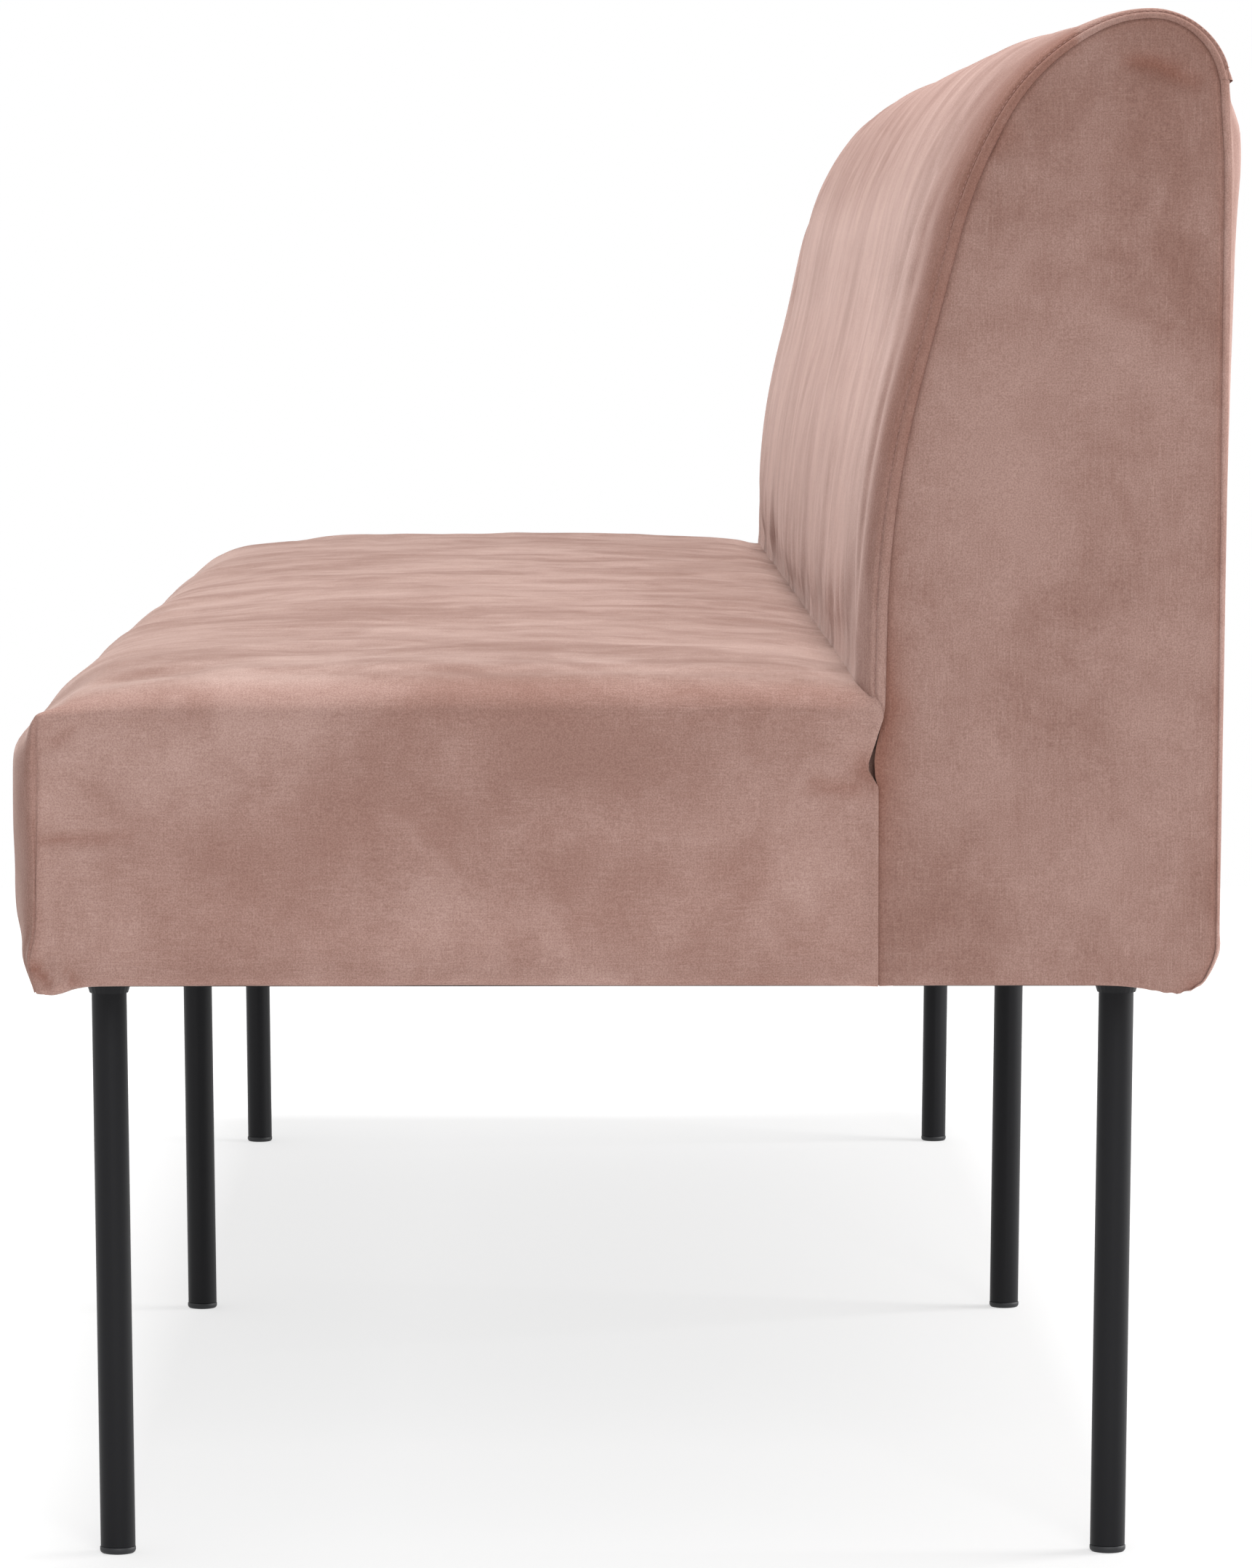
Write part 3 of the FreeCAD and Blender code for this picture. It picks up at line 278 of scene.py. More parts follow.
print("a strip of 2 m has", len(stations(HALF, [0, 0.01])), "stations")

# %% [markdown]
# The band runs over the front and the top of the back. At the end it is folded under itself, which makes
# a small lip beside the seam. From there the cloth leaves the seam steeply, as cloth sewn round foam does.
# Low down the seat presses the swell in. The rear panel continues the same form below the band's hem.

# %% The band and the rear panel
BACK_RUN = 0.034
UNDER = -0.001
FOLDED_IN = 0.0032
HEART = Vector((0, 0.24, 0.60))
NEAR_BACK = [UNDER, 0, 0.0004, 0.0011, 0.0019, 0.0026, 0.0032, 0.0040, 0.0054, 0.0074, 0.0102, 0.014,
             0.019, 0.025, 0.032, 0.040, 0.049, 0.059, 0.070]


def back_place(step, x):
    """Where a vertex of the back's cloth lies."""
    distance = BACK_END - abs(x)
    if distance < 0:
        inward = (HEART - end_template[step]).normalized() * 0.0006
        return Vector((math.copysign(BACK_END - FOLDED_IN, x), 0, 0)) + mitred_template[step] + inward
    share = swell(distance, BACK_RUN)
    turned = min(distance / HEM_TURN, 1)
    seam = mitred_template[step].lerp(end_template[step], turned)
    spot = seam.lerp(full_template[step], share)
    drop = (end_template[HEM_STEP].z - full_template[HEM_STEP].z) * share
    spot.z += drop * hump(step - HEM_STEP, 9)
    if step < CREST:
        free = smooth(SEAT_TOP - 0.034, SEAT_TOP - 0.004, spot.z)
        spot.y = seam.y + (spot.y - seam.y) * free
    return Vector((x, spot.y, spot.z))


back_stations = stations(BACK_END, NEAR_BACK)
band_bm = bmesh.new()
make_grid(band_bm, range(HEM_STEP + 1), back_stations, back_place)
band = finish_mesh(band_bm, "back_band_velvet")
rear_bm = bmesh.new()
make_grid(rear_bm, range(HEM_STEP - 1, len(end_template)), back_stations, back_place)
rear = finish_mesh(rear_bm, "back_rear_velvet")
print("band faces", len(band.data.polygons), "rear faces", len(rear.data.polygons))

# %% [markdown]
# The end panels are flat pieces inside that seam. Rows of vertices cross from the front edge to the rear
# edge, so the grid follows the outline. Below, the panel is turned under the frame like the rest.

# %% End panels of the back
PANEL_COLUMNS = [0.0] + spread(0.18, 0.0014, 0.0075)


def make_end_panel(name, sign):
    """A panel between the front half and the rear half of the end outline."""
    front = mitred_template[FIRST: CREST + 1]
    rear_half = mitred_template[CREST: LAST + 1][::-1]

    def place(share, row):
        step = max(row, 0) / (len(front) - 1)
        at = step * (len(rear_half) - 1)
        low = min(int(at), len(rear_half) - 2)
        back = rear_half[low].lerp(rear_half[low + 1], at - low)
        spot = front[max(row, 0)].lerp(back, share)
        turned = 0
        if row < 0:
            corner = min(spot.y - front[0].y, back.y - spot.y)
            turned = min(HEM_TURN, corner) * -row / HEM_STEPS
        return Vector((sign * (HALF - 0.0012 - turned), spot.y, spot.z))

    bm = bmesh.new()
    make_grid(bm, PANEL_COLUMNS, range(-HEM_STEPS, len(front)), place)
    return finish_mesh(bm, name)


panels = {side: make_end_panel("back_end_velvet_" + side, sign) for side, sign in SIDES}
print("end panel faces", len(panels["right"].data.polygons))

# %% [markdown]
# The seat's cover is cut like a fitted sheet: the top runs down over the front and, without a seam, over
# both ends. Only the corners are sewn, from the hem up to a small pointed ear.

# %% The seat's cover
SEAT_RUN = 0.080
EDGE, EDGE_RUN = 0.018, 0.034
FRONT_HALF = 0.076
ARC_STEPS, LINE_STEPS, BEND_STEPS = 12, 5, 8
EAR = HEM_STEPS + FOLD_STEPS + ARC_STEPS + LINE_STEPS + BEND_STEPS // 2
UP = ARC_STEPS + LINE_STEPS + BEND_STEPS // 2
TOP_SHARES = spread(0.40, 0.0014, 0.0078)
NEAR_SEAT = [0, 0.0003, 0.001, 0.0025, 0.005, 0.008, 0.0115, 0.0155, 0.020, 0.026, 0.033, 0.041, 0.050,
             0.060, 0.071, 0.083]


def seat_template(distance):
    """The seat's outline at a distance from an end, from the front hem to the rear hem."""
    full = swell(distance, SEAT_RUN)
    crown = max(FRONT_CROWN * full, 0.0003)
    sagitta = max(0.004 * full, 0.0003)
    drop = EDGE * (1 - swell(distance, EDGE_RUN))
    top = SEAT_TOP - drop
    front_radius = 0.004 + 0.041 * full
    rear_radius = 0.0015 + 0.0060 * smooth(0, 0.03, distance)
    turn = max(min(distance, HEM_TURN), LEAST_TURN)
    fold = 0.2 * turn
    radius = (crown ** 2 + FRONT_HALF ** 2) / (2 * crown)
    start = -math.degrees(math.asin(FRONT_HALF / radius))
    drawn = Template(FRONT_SEAM + turn, HEM, -90)
    drawn.run(turn - fold * math.cos(math.radians(start)), even(HEM_STEPS))
    drawn.bend(fold, start, even(FOLD_STEPS)).bend(radius, 0, even(ARC_STEPS))
    flat = JOINT - rear_radius - drawn.tip.co.y - front_radius
    tilt = math.degrees(2 * math.atan(2 * sagitta / flat))
    drawn.run(top - rise(front_radius, 0, 90 - tilt) - drawn.tip.co.z, even(LINE_STEPS))
    drawn.bend(front_radius, 90 - tilt, even(BEND_STEPS))
    left = JOINT - rear_radius * (math.cos(math.radians(90 + tilt)) + 1) - drawn.tip.co.y
    drawn.bend(left / (2 * math.sin(math.radians(tilt))), 90 + tilt, TOP_SHARES)
    drawn.bend(rear_radius, 180, even(BEND_STEPS))
    drawn.run(drawn.tip.co.z - HEM - fold, even(ARC_STEPS + LINE_STEPS))
    drawn.bend(fold, 270, even(FOLD_STEPS)).run(turn - fold, even(HEM_STEPS))
    return drawn.points()


seat_stations = stations(HALF, NEAR_SEAT)
seat_rows = {}
for station in seat_stations:
    distance = round(HALF - abs(station), 6)
    if distance not in seat_rows:
        seat_rows[distance] = seat_template(distance)
corner_row = seat_rows[0]
REAR_EAR = len(corner_row) - 1 - EAR


def seat_place(step, x):
    """Where a vertex of the seat's cloth lies, between its ends."""
    spot = seat_rows[round(HALF - abs(x), 6)][step]
    return Vector((x, spot.y, spot.z))


def seat_end_place(step, row, sign):
    """A vertex of the seat's end: rows count down from the top edge and then in under the frame."""
    down = min(row, UP)
    front, back = corner_row[EAR - down], corner_row[REAR_EAR + down]
    first, last = corner_row[EAR], corner_row[REAR_EAR]
    across = (corner_row[step].y - first.y) / (last.y - first.y)
    y = front.y + (back.y - front.y) * across
    corner = min(y - front.y, back.y - y)
    turn = max(min(corner, HEM_TURN), 0)
    fold = 0.2 * turn
    crown = corner_row[step].z - (first.z + (last.z - first.z) * across)
    high = front.z + (back.z - front.z) * across + crown * (1 - down / UP) + fold * (down / UP) ** 3
    if row <= UP:
        return Vector((sign * HALF, y, high))
    if row <= UP + FOLD_STEPS:
        angle = math.pi / 2 * (row - UP) / FOLD_STEPS
        return Vector((sign * (HALF - fold * (1 - math.cos(angle))), y, HEM + fold * (1 - math.sin(angle))))
    inward = fold + (turn - fold) * (row - UP - FOLD_STEPS) / HEM_STEPS
    return Vector((sign * (HALF - inward), y, HEM))


seat_bm = bmesh.new()
make_grid(seat_bm, range(len(corner_row)), seat_stations, seat_place)
for sign in (-1, 1):
    make_grid(seat_bm, range(EAR, REAR_EAR + 1), range(UP + FOLD_STEPS + HEM_STEPS + 1),
              lambda step, row: seat_end_place(step, row, sign))
seat = finish_mesh(seat_bm, "seat_velvet")
print("seat faces", len(seat.data.polygons), "outline steps", len(corner_row))

# %% [markdown]
# Cloth that is sewn a little large lies in soft waves, and foam presses it outwards. Both come from a cloth
# simulation: the seams and hems are held, the rest is held loosely, as by foam under it, and a little
# pressure and a little extra cloth do the rest. The pressure also blows the whole cover up, so the average
# of that is taken off again, and what stays are the waves. No point may move further than a cap.

# %% Let the cloth settle
FRAMES = 20
LEAST_HOLD = 0.02


def settle(piece, hold, extra, pressure, cap):
    """Runs the cloth for some frames and keeps a capped share of its movement."""
    start = [vert.co.copy() for vert in piece.data.vertices]
    group = piece.vertex_groups.new(name="held")
    for index, spot in enumerate(start):
        group.add([index], hold(spot), "REPLACE")
    cloth = piece.modifiers.new("settling", "CLOTH")
    settings = cloth.settings
    settings.quality = 5
    settings.mass = 0.3
    settings.tension_stiffness = settings.compression_stiffness = 15
    settings.shear_stiffness = 5
    settings.bending_stiffness = 0.6
    settings.vertex_group_mass = "held"
    settings.pin_stiffness = 1.0
    settings.shrink_min = -extra
    settings.use_pressure = True
    settings.uniform_pressure_force = pressure
    settings.effector_weights.gravity = 0
    cloth.collision_settings.use_collision = False
    cloth.collision_settings.use_self_collision = False
    cloth.point_cache.frame_start, cloth.point_cache.frame_end = 1, FRAMES
    scene = bpy.context.scene
    for frame_number in range(1, FRAMES + 1):
        scene.frame_set(frame_number)
    settled = piece.evaluated_get(bpy.context.evaluated_depsgraph_get())
    moves = [vert.co - spot for vert, spot in zip(settled.data.vertices, start)]
    piece.modifiers.remove(cloth)
    scene.frame_set(1)
    furthest = max(move.length for move in moves)
    normals = [vert.normal.copy() for vert in piece.data.vertices]
    average = sum(move.dot(normal) for move, normal in zip(moves, normals)) / len(moves)
    for vert, spot, move, normal in zip(piece.data.vertices, start, moves, normals):
        wave = move - normal * average * (1 - hold(spot))
        vert.co = spot + wave * (cap / (cap + wave.length))
    piece.vertex_groups.remove(group)
    print(piece.name, "moved up to", round(furthest * 1000, 1), "mm, on average", round(average * 1000, 1))


def seat_hold(spot):
    """How firmly a point of the seat's cover is held."""
    low = 1 - smooth(HEM + 0.002, HEM + 0.02, spot.z)
    seam = hump(spot.y - FRONT_SEAM, 0.004) * smooth(HALF - 0.006, HALF - 0.001, abs(spot.x))
    rear_face = smooth(JOINT - 0.012, JOINT - 0.002, spot.y)
    return min(max(low, seam, rear_face, LEAST_HOLD), 1)


def band_hold(spot):
    """How firmly a point of the back's cloth is held."""
    edge = 1 - smooth(0.003, 0.060, BACK_END - abs(spot.x))
    low = 1 - smooth(SEAT_TOP - 0.01, SEAT_TOP + 0.02, spot.z)
    hem = hump(spot.z - REAR_HEM, 0.012) if spot.y > BEHIND else 0
    return min(max(edge, low, hem, LEAST_HOLD), 1)


def rear_hold(spot):
    """How firmly a point of the rear panel is held."""
    edge = 1 - smooth(0.003, 0.012, BACK_END - abs(spot.x))
    low = 1 - smooth(HEM + 0.02, HEM + 0.04, spot.z)
    return min(max(edge, low, hump(spot.z - REAR_HEM, 0.012), LEAST_HOLD), 1)


began = time.time()
settle(seat, seat_hold, extra=0.012, pressure=4, cap=0.003)
settle(band, band_hold, extra=0.012, pressure=4, cap=0.003)
settle(rear, rear_hold, extra=0.010, pressure=4, cap=0.003)
print("cloth took", round(time.time() - began), "s")

# %% [markdown]
# The settled cloth gets one subdivision, so that it can carry finer things: the lip and groove of a seam,
# pulled folds and gathered corners. These are vertex moves, each a soft hump around a line or a point.

# %% Fine mesh for fine folds
def refine(piece):
    """Applies one level of subdivision to a piece."""
    finer = piece.modifiers.new("finer", "SUBSURF")
    finer.levels = finer.render_levels = 1
    finer.boundary_smooth = "PRESERVE_CORNERS"
    seen = piece.evaluated_get(bpy.context.evaluated_depsgraph_get())
    mesh = bpy.data.meshes.new_from_object(seen)
    piece.modifiers.clear()
    old, piece.data = piece.data, mesh
    bpy.data.meshes.remove(old)
    mesh.name = piece.name
    mesh.shade_smooth()


def dress(piece, move, painted_shade=None):
    """Moves each vertex by what move(place, normal) gives, and notes where painted shade darkens the cloth.

    A second note says how far the cloth is turned away from the ends: the velvet paints that cloth
    lighter, as painted sheen and light from above, and the cloth facing the ends darker, as painted shade.
    """
    mesh = piece.data
    places = [vert.co.copy() for vert in mesh.vertices]
    normals = [vert.normal.copy() for vert in mesh.vertices]
    # This note is painted shade: it darkens the velvet in folds, tucks, along seams and low on the front.
    marks = mesh.attributes.new("painted_shade", "FLOAT", "POINT")
    marks.data.foreach_set("value", [painted_shade(place) if painted_shade else 0.0 for place in places])
    # The turned note drives painted light in the velvet: lighter where the cloth is turned away from the
    # ends, darker where it faces them.
    turned = mesh.attributes.new("turned", "FLOAT", "POINT")
    turned.data.foreach_set("value", [1 - smooth(0.06, 0.62, abs(normal.x)) for normal in normals])
    for vert, place, normal in zip(mesh.vertices, places, normals):
        vert.co = place + move(place, normal)
    mesh.update()


def waves(spot, scale, seed):
    """A smooth random height between about -1 and 1; scale is a length per direction."""
    place = Vector((spot.x / scale[0] + seed, spot.y / scale[1] - seed, spot.z / scale[2] + 2 * seed))
    return noise.noise(place)


def to_line(y, z, line):
    """Distance in the side plane to a line of points, and the share along it."""
    best, at = 9.0, 0.0
    for index, (start, end) in enumerate(zip(line, line[1:])):
        way = Vector(end) - Vector(start)
        share = min(max((Vector((y, z)) - Vector(start)).dot(way) / way.length_squared, 0), 1)
        distance = (Vector((y, z)) - Vector(start) - way * share).length
        if distance < best:
            best, at = distance, (index + share) / (len(line) - 1)
    return best, at


def folds(spot, lines):
    """Height of pulled folds at a point: each has a line, a depth and a width, and fades at its ends."""
    height = 0
    for line, depth, width in lines:
        distance, at = to_line(spot.y, spot.z, line)
        if distance < 3 * width:
            height += depth * hump(distance, width) * math.sqrt(max(math.sin(math.pi * min(at, 0.999)), 0))
    return height


for piece in (seat, band, rear, *panels.values()):
    refine(piece)
print("faces", {piece.name: len(piece.data.polygons) for piece in (seat, band, rear, panels["right"])})

# %% [markdown]
# The seat's end, from the photograph: short pulls fan out from the ear, a flat crease starts at the corner
# seam halfway down, and at the bottom corner the turned cloth is gathered and hangs a few millimetres low.
# At the rear the end is tucked in: a second pointed ear, and below it a notch that closes again. A fold is
# a line of points with a depth and a width; the tuck is a list of heights with the move at each.

# %% Folds of the seat
SEAT_FOLDS = [
    ([(FRONT_SEAM + 0.006, 0.442), (FRONT_SEAM + 0.020, 0.455)], -0.0006, 0.0040),
    ([(FRONT_SEAM + 0.004, 0.455), (FRONT_SEAM + 0.026, 0.464)], 0.0009, 0.0040),
    ([(FRONT_SEAM + 0.003, 0.425), (FRONT_SEAM + 0.014, 0.440)], 0.0007, 0.0040),
    ([(FRONT_SEAM + 0.001, 0.3955), (FRONT_SEAM + 0.020, 0.3940), (FRONT_SEAM + 0.052, 0.3948)],
     -0.0011, 0.0030),
    ([(FRONT_SEAM + 0.003, 0.3995), (FRONT_SEAM + 0.034, 0.3990)], 0.0006, 0.0040),
    ([(FRONT_SEAM + 0.001, 0.329), (FRONT_SEAM + 0.010, 0.319)], -0.0015, 0.0030),
    ([(FRONT_SEAM + 0.006, 0.330), (FRONT_SEAM + 0.016, 0.318)], 0.0018, 0.0032),
    ([(FRONT_SEAM + 0.013, 0.327), (FRONT_SEAM + 0.022, 0.317)], -0.0010, 0.0030),
    ([(JOINT - 0.004, 0.447), (JOINT - 0.024, 0.462)], 0.0010, 0.0045),
    ([(JOINT - 0.008, 0.420), (JOINT - 0.040, 0.424)], -0.0008, 0.0045),
    ([(JOINT - 0.012, 0.330), (JOINT - 0.006, 0.318)], 0.0007, 0.0035),
]
SEAT_TUCK = [(0.4225, 0.0), (0.4325, -0.0060), (0.4600, 0.0027), (0.470, 0.0008), (0.480, 0.0)]
EAR_SPOT = Vector((FRONT_SEAM, 0.4605))
TUCK_SPOT = Vector((JOINT - 0.002, 0.430))


def seat_height(spot, from_end, from_seam, from_joint):
    """Waves and folds, as a height over the cover."""
    at_end = 1 - smooth(0.003, 0.012, from_end)
    near_top = smooth(SEAT_TOP - 0.05, SEAT_TOP - 0.01, spot.z)
    free = smooth(0.002, 0.03, from_joint)
    calm = smooth(HEM, HEM + 0.04, spot.z) * free
    height = 0.0018 * waves(spot, (0.10, 0.07, 0.06), 3.1) * calm
    height += 0.0007 * waves(spot, (0.035, 0.030, 0.028), 7.7) * calm
    front_edge = hump(from_seam, 0.05) * near_top * (1 - at_end)
    lower = 0.0034 * swell(from_end, SEAT_RUN)
    height += (0.0026 * waves(spot, (0.085, 0.2, 0.2), 1.3) - lower) * front_edge
    rear_edge = hump(from_joint - 0.02, 0.03) * near_top * free * (1 - at_end)
    height += 0.0024 * waves(spot, (0.060, 0.2, 0.2), 5.2) * rear_edge
    if at_end > 0:
        height += folds(spot, SEAT_FOLDS) * at_end * free
    return height


def seat_front(spot, from_end, from_seam):
    """The corner seam's groove, the fuller front and the cloth drawn in towards the ear."""
    move = Vector()
    side = math.copysign(1, spot.x)
    in_seam = (1 - smooth(0.001, 0.02, from_end)) * (1 - smooth(0.4575, 0.4635, spot.z))
    groove = -0.0024 * hump(from_seam, 0.0011) + 0.0007 * hump(abs(from_seam) - 0.0036, 0.0018)
    move.x += side * groove * in_seam
    up = (spot.z - HEM - FRONT_HALF) / FRONT_HALF
    if from_seam < 0.002 and abs(up) < 1:
        belly = 0.0180 * (up ** 2 - up ** 4) * (up < 0) + 0.0022 * (1 - up ** 4)
        move.y -= belly * swell(from_end, SEAT_RUN)
    puff = hump(spot.z - 0.329, 0.012) * hump(from_end - 0.010, 0.024)
    move.y -= 0.0045 * puff * (1 - smooth(0.0, 0.010, from_seam))
    pull = hump(from_end, 0.17) * smooth(0.0, 0.022, from_end + max(from_seam, 0))
    move.y += 0.0080 * pull * smooth(0.438, 0.467, spot.z) * (1 - smooth(-0.004, 0.030, from_seam))
    move.z -= 0.0060 * hump(from_end, 0.11) * hump(max(from_seam, 0), 0.045) * smooth(0.452, 0.478, spot.z)
    ear = hump((Vector((spot.y, spot.z)) - EAR_SPOT).length, 0.0060) * (1 - smooth(0.003, 0.012, from_end))
    return move + Vector((side * 0.0010, 0.0006, 0.0004)) * ear


def seat_rear(spot, from_end, from_joint):
    """The rear edge sinks near the end, is pushed into the back's cloth, and is tucked in at the end."""
    sunk = 0.0015 * hump(from_end, 0.04) * hump(max(from_joint, 0), 0.030) * smooth(0.452, 0.478, spot.z)
    pushed = 0.0055 * smooth(0.452, 0.468, spot.z) * hump(from_joint, 0.012) * smooth(0.004, 0.016, from_end)
    tucked = hump(from_joint, 0.010) * (1 - smooth(0.003, 0.013, from_end))
    notch = between(spot.z, SEAT_TUCK)
    side = math.copysign(1, spot.x)
    return Vector((0, pushed, -sunk)) + Vector((side * min(notch, 0) * 0.5, notch, 0)) * tucked


def seat_hem_drop(spot, from_end, from_seam, from_joint):
    """How much lower the hem hangs: gathers at the front corner, and a slow wave all round."""
    low = 1 - smooth(HEM - 0.001, HEM + 0.014, spot.z)
    at_corner = low * (1 - smooth(0.009, 0.018, min(from_end, abs(from_seam))))
    corner = Vector((from_end, from_seam)).length
    angle = math.atan2(from_seam, from_end + 0.002)
    sag = 0.0038 * hump(max(from_seam, 0) - 0.007, 0.014) * hump(from_end, 0.03)
    gathers = 0.0010 * math.cos(11 * angle) * hump(corner - 0.010, 0.010)
    wave = 0.0005 * waves(spot, (0.07, 0.07, 1), 9.4) * smooth(0.002, 0.02, from_joint)
    return (sag + gathers) * at_corner + wave * low


def seat_move(spot, normal):
    """All moves of a point of the seat's cover together."""
    from_end, from_seam, from_joint = HALF - abs(spot.x), spot.y - FRONT_SEAM, JOINT - spot.y
    move = normal * seat_height(spot, from_end, from_seam, from_joint)
    move += seat_front(spot, from_end, from_seam) + seat_rear(spot, from_end, from_joint)
    move.z -= seat_hem_drop(spot, from_end, from_seam, from_joint)
    return move


def seat_painted_shade(spot):
    """Painted shade: low on the front, round the top edge, in folds and at the tuck."""
    from_end = HALF - abs(spot.x)
    front = (1 - smooth(FRONT_SEAM - 0.004, FRONT_SEAM + 0.006, spot.y)) * (1 - smooth(0.44, 0.47, spot.z))
    roll = hump(from_end - 0.004, 0.010) * smooth(0.450, 0.464, spot.z)
    found = 0.60 * front * hump(from_end, 0.25) + 0.12 * roll
    if from_end < 0.012 and spot.y > FRONT_SEAM - 0.001:
        tuck = hump((Vector((spot.y, spot.z)) - TUCK_SPOT).length, 0.012)
        found += max(-folds(spot, SEAT_FOLDS) / 0.0014, 0) + 0.8 * tuck
    return min(found, 1)


dress(seat, seat_move, seat_painted_shade)
print("seat folds", len(SEAT_FOLDS), "highest point", round(max(v.co.z for v in seat.data.vertices), 4))

# %% [markdown]
# The back's seams: a narrow lip runs beside each end seam, closed by a groove that the top stitching pulls
# in. Near the seat the front is drawn into soft upright folds, and near the ends the crest is drawn tight.

# %% Lips, grooves and folds of the back
LIP_END = 0.0026
BAND_TUCK = [(0.316, -0.0004), (0.400, -0.0020), (0.4280, -0.0020), (0.445, -0.0030), (0.464, 0.0)]


def lip(distance):
    """Relief beside an end seam: a raised lip, the groove of the stitching and a soft rise after it."""
    raised = 0.0007 * hump(distance - 0.0009, 0.0010)
    groove = 0.0009 * hump(distance - LIP_END, 0.0006)
    return raised - groove + 0.0004 * hump(distance - 0.0048, 0.0016)


def rear_belly(spot):
    """The rear swells a little more below the band's hem."""
    if spot.y < BEHIND:
        return 0.0
    return 0.0036 * hump(spot.z - 0.768, 0.036) * smooth(0.002, 0.045, BACK_END - abs(spot.x))


def crest_swell(spot):
    """Near the ends the cloth over the crest is drawn tight; in the middle it stands higher."""
    distance = BACK_END - abs(spot.x)
    tight = smooth(0.003, 0.030, distance) * (1 - smooth(0.05, 0.75, distance))
    tight *= smooth(0.770, 0.805, spot.z) * smooth(0.215, 0.275, spot.y)
    full = 0.0024 * smooth(0.10, 0.75, distance) * smooth(0.76, 0.82, spot.z)
    full *= 1 - smooth(0.25, 0.33, spot.y)
    return full - (0.0046 + 0.0028 * smooth(0.28, 0.33, spot.y)) * tight


def set_in(spot):
    """The rear of the crest sits a little lower and further in than the template."""
    return Vector((0, -0.0026, -0.0020)) * smooth(0.26, 0.32, spot.y) * smooth(0.745, 0.800, spot.z)


def back_ripple(spot):
    """Soft waves: long upright ones on the front, and small ones near the seat."""
    height = 0.0016 * waves(spot, (0.11, 0.30, 0.22), 2.6) + 0.0005 * waves(spot, (0.041, 0.10, 0.12), 8.1)
    if spot.y < BEHIND:
        above = smooth(SEAT_TOP - 0.01, SEAT_TOP + 0.03, spot.z)
        height += 0.0028 * waves(spot, (0.040, 0.3, 0.12), 4.4) * hump(spot.z - SEAT_TOP - 0.012, 0.05)
    else:
        above = smooth(HEM, HEM + 0.05, spot.z)
    return height * smooth(0.004, 0.02, BACK_END - abs(spot.x)) * above


def rear_corner(spot, inset, round_seam, ring):
    """Cloth gathered round the rear bottom corner bulges out and hangs a few millimetres lower."""
    corner = Vector((max(inset, 0), round_seam - spot.y)).length
    bulge = 0.0026 * hump(corner, 0.022) * (1 - smooth(HEM + 0.002, HEM + 0.03, spot.z))
    hang = 0.0042 * hump(corner - ring, 0.020) + 0.0005 * math.cos(spot.y * 900) * hump(corner, 0.016)
    return Vector((0, bulge, -hang * (1 - smooth(HEM + 0.001, HEM + 0.014, spot.z))))


def band_move(spot, normal):
    """Ripple, lip, full brow and hem of the band, and how it is tucked in beside the seat."""
    distance = BACK_END - abs(spot.x)
    height = back_ripple(spot) + crest_swell(spot)
    if distance > 0:
        height += lip(distance) * (smooth(0.455, 0.475, spot.z) if spot.y < BEHIND else 1)
    brow = smooth(0.64, 0.78, spot.z) * (1 - smooth(0.20, BEHIND, spot.y))
    height += 0.0070 * smooth(0.008, 0.10, distance) * brow
    if spot.y > BEHIND:
        from_hem = spot.z - REAR_HEM
        stitched = 0.0006 * hump(from_hem - 0.002, 0.0035) - 0.0008 * hump(from_hem - 0.0075, 0.0016)
        height += stitched * smooth(0.001, 0.012, distance)
    move = normal * height + Vector((0, rear_belly(spot), 0)) + set_in(spot)
    if spot.z < 0.475 and spot.y < 0.2:
        near = hump(distance, 0.018)
        move.y += between(spot.z, BAND_TUCK) * near
        move.x -= math.copysign(0.0022, spot.x) * (1 - smooth(0.450, 0.462, spot.z)) * near
    return move


def rear_move(spot, normal):
    """Ripple of the rear panel, its top under the band's hem, and its bottom corners."""
    distance = BACK_END - abs(spot.x)
    height = back_ripple(spot) + crest_swell(spot)
    if spot.z > REAR_HEM - 0.01:
        pressed_in = 0.0009 * hump(max(spot.z - REAR_HEM + 0.002, -0.004), 0.004)
        height -= pressed_in * smooth(0.001, 0.010, distance)
    move = normal * height + Vector((0, rear_belly(spot), 0)) + set_in(spot)
    return move + rear_corner(spot, distance, REAR_SEAM - 0.018, 0.006)


def band_painted_shade(spot):
    """Painted shade on the front beside the end seam, where the band rounds towards the end, stronger higher
    up.
    """
    if spot.y > 0.24:
        return 0.0
    beside = 1 - smooth(0.030, 0.066, BACK_END - abs(spot.x))
    return (0.12 + 0.60 * smooth(0.51, 0.62, spot.z)) * beside


dress(band, band_move, band_painted_shade)
dress(rear, rear_move)
print("back's highest point", round(max(vert.co.z for vert in band.data.vertices), 4),
      "and rearmost", round(max(vert.co.y for vert in rear.data.vertices), 4))

# %% [markdown]
# The end panel lies a little lower than the lip of the band, which gives the dark line of the seam, and
# rises to a gentle puff. Under the crest it has one soft dent, and smaller ones along the front seam.
# Painted shade darkens the dents, the cloth just inside the seam and the cloth beside the seat.

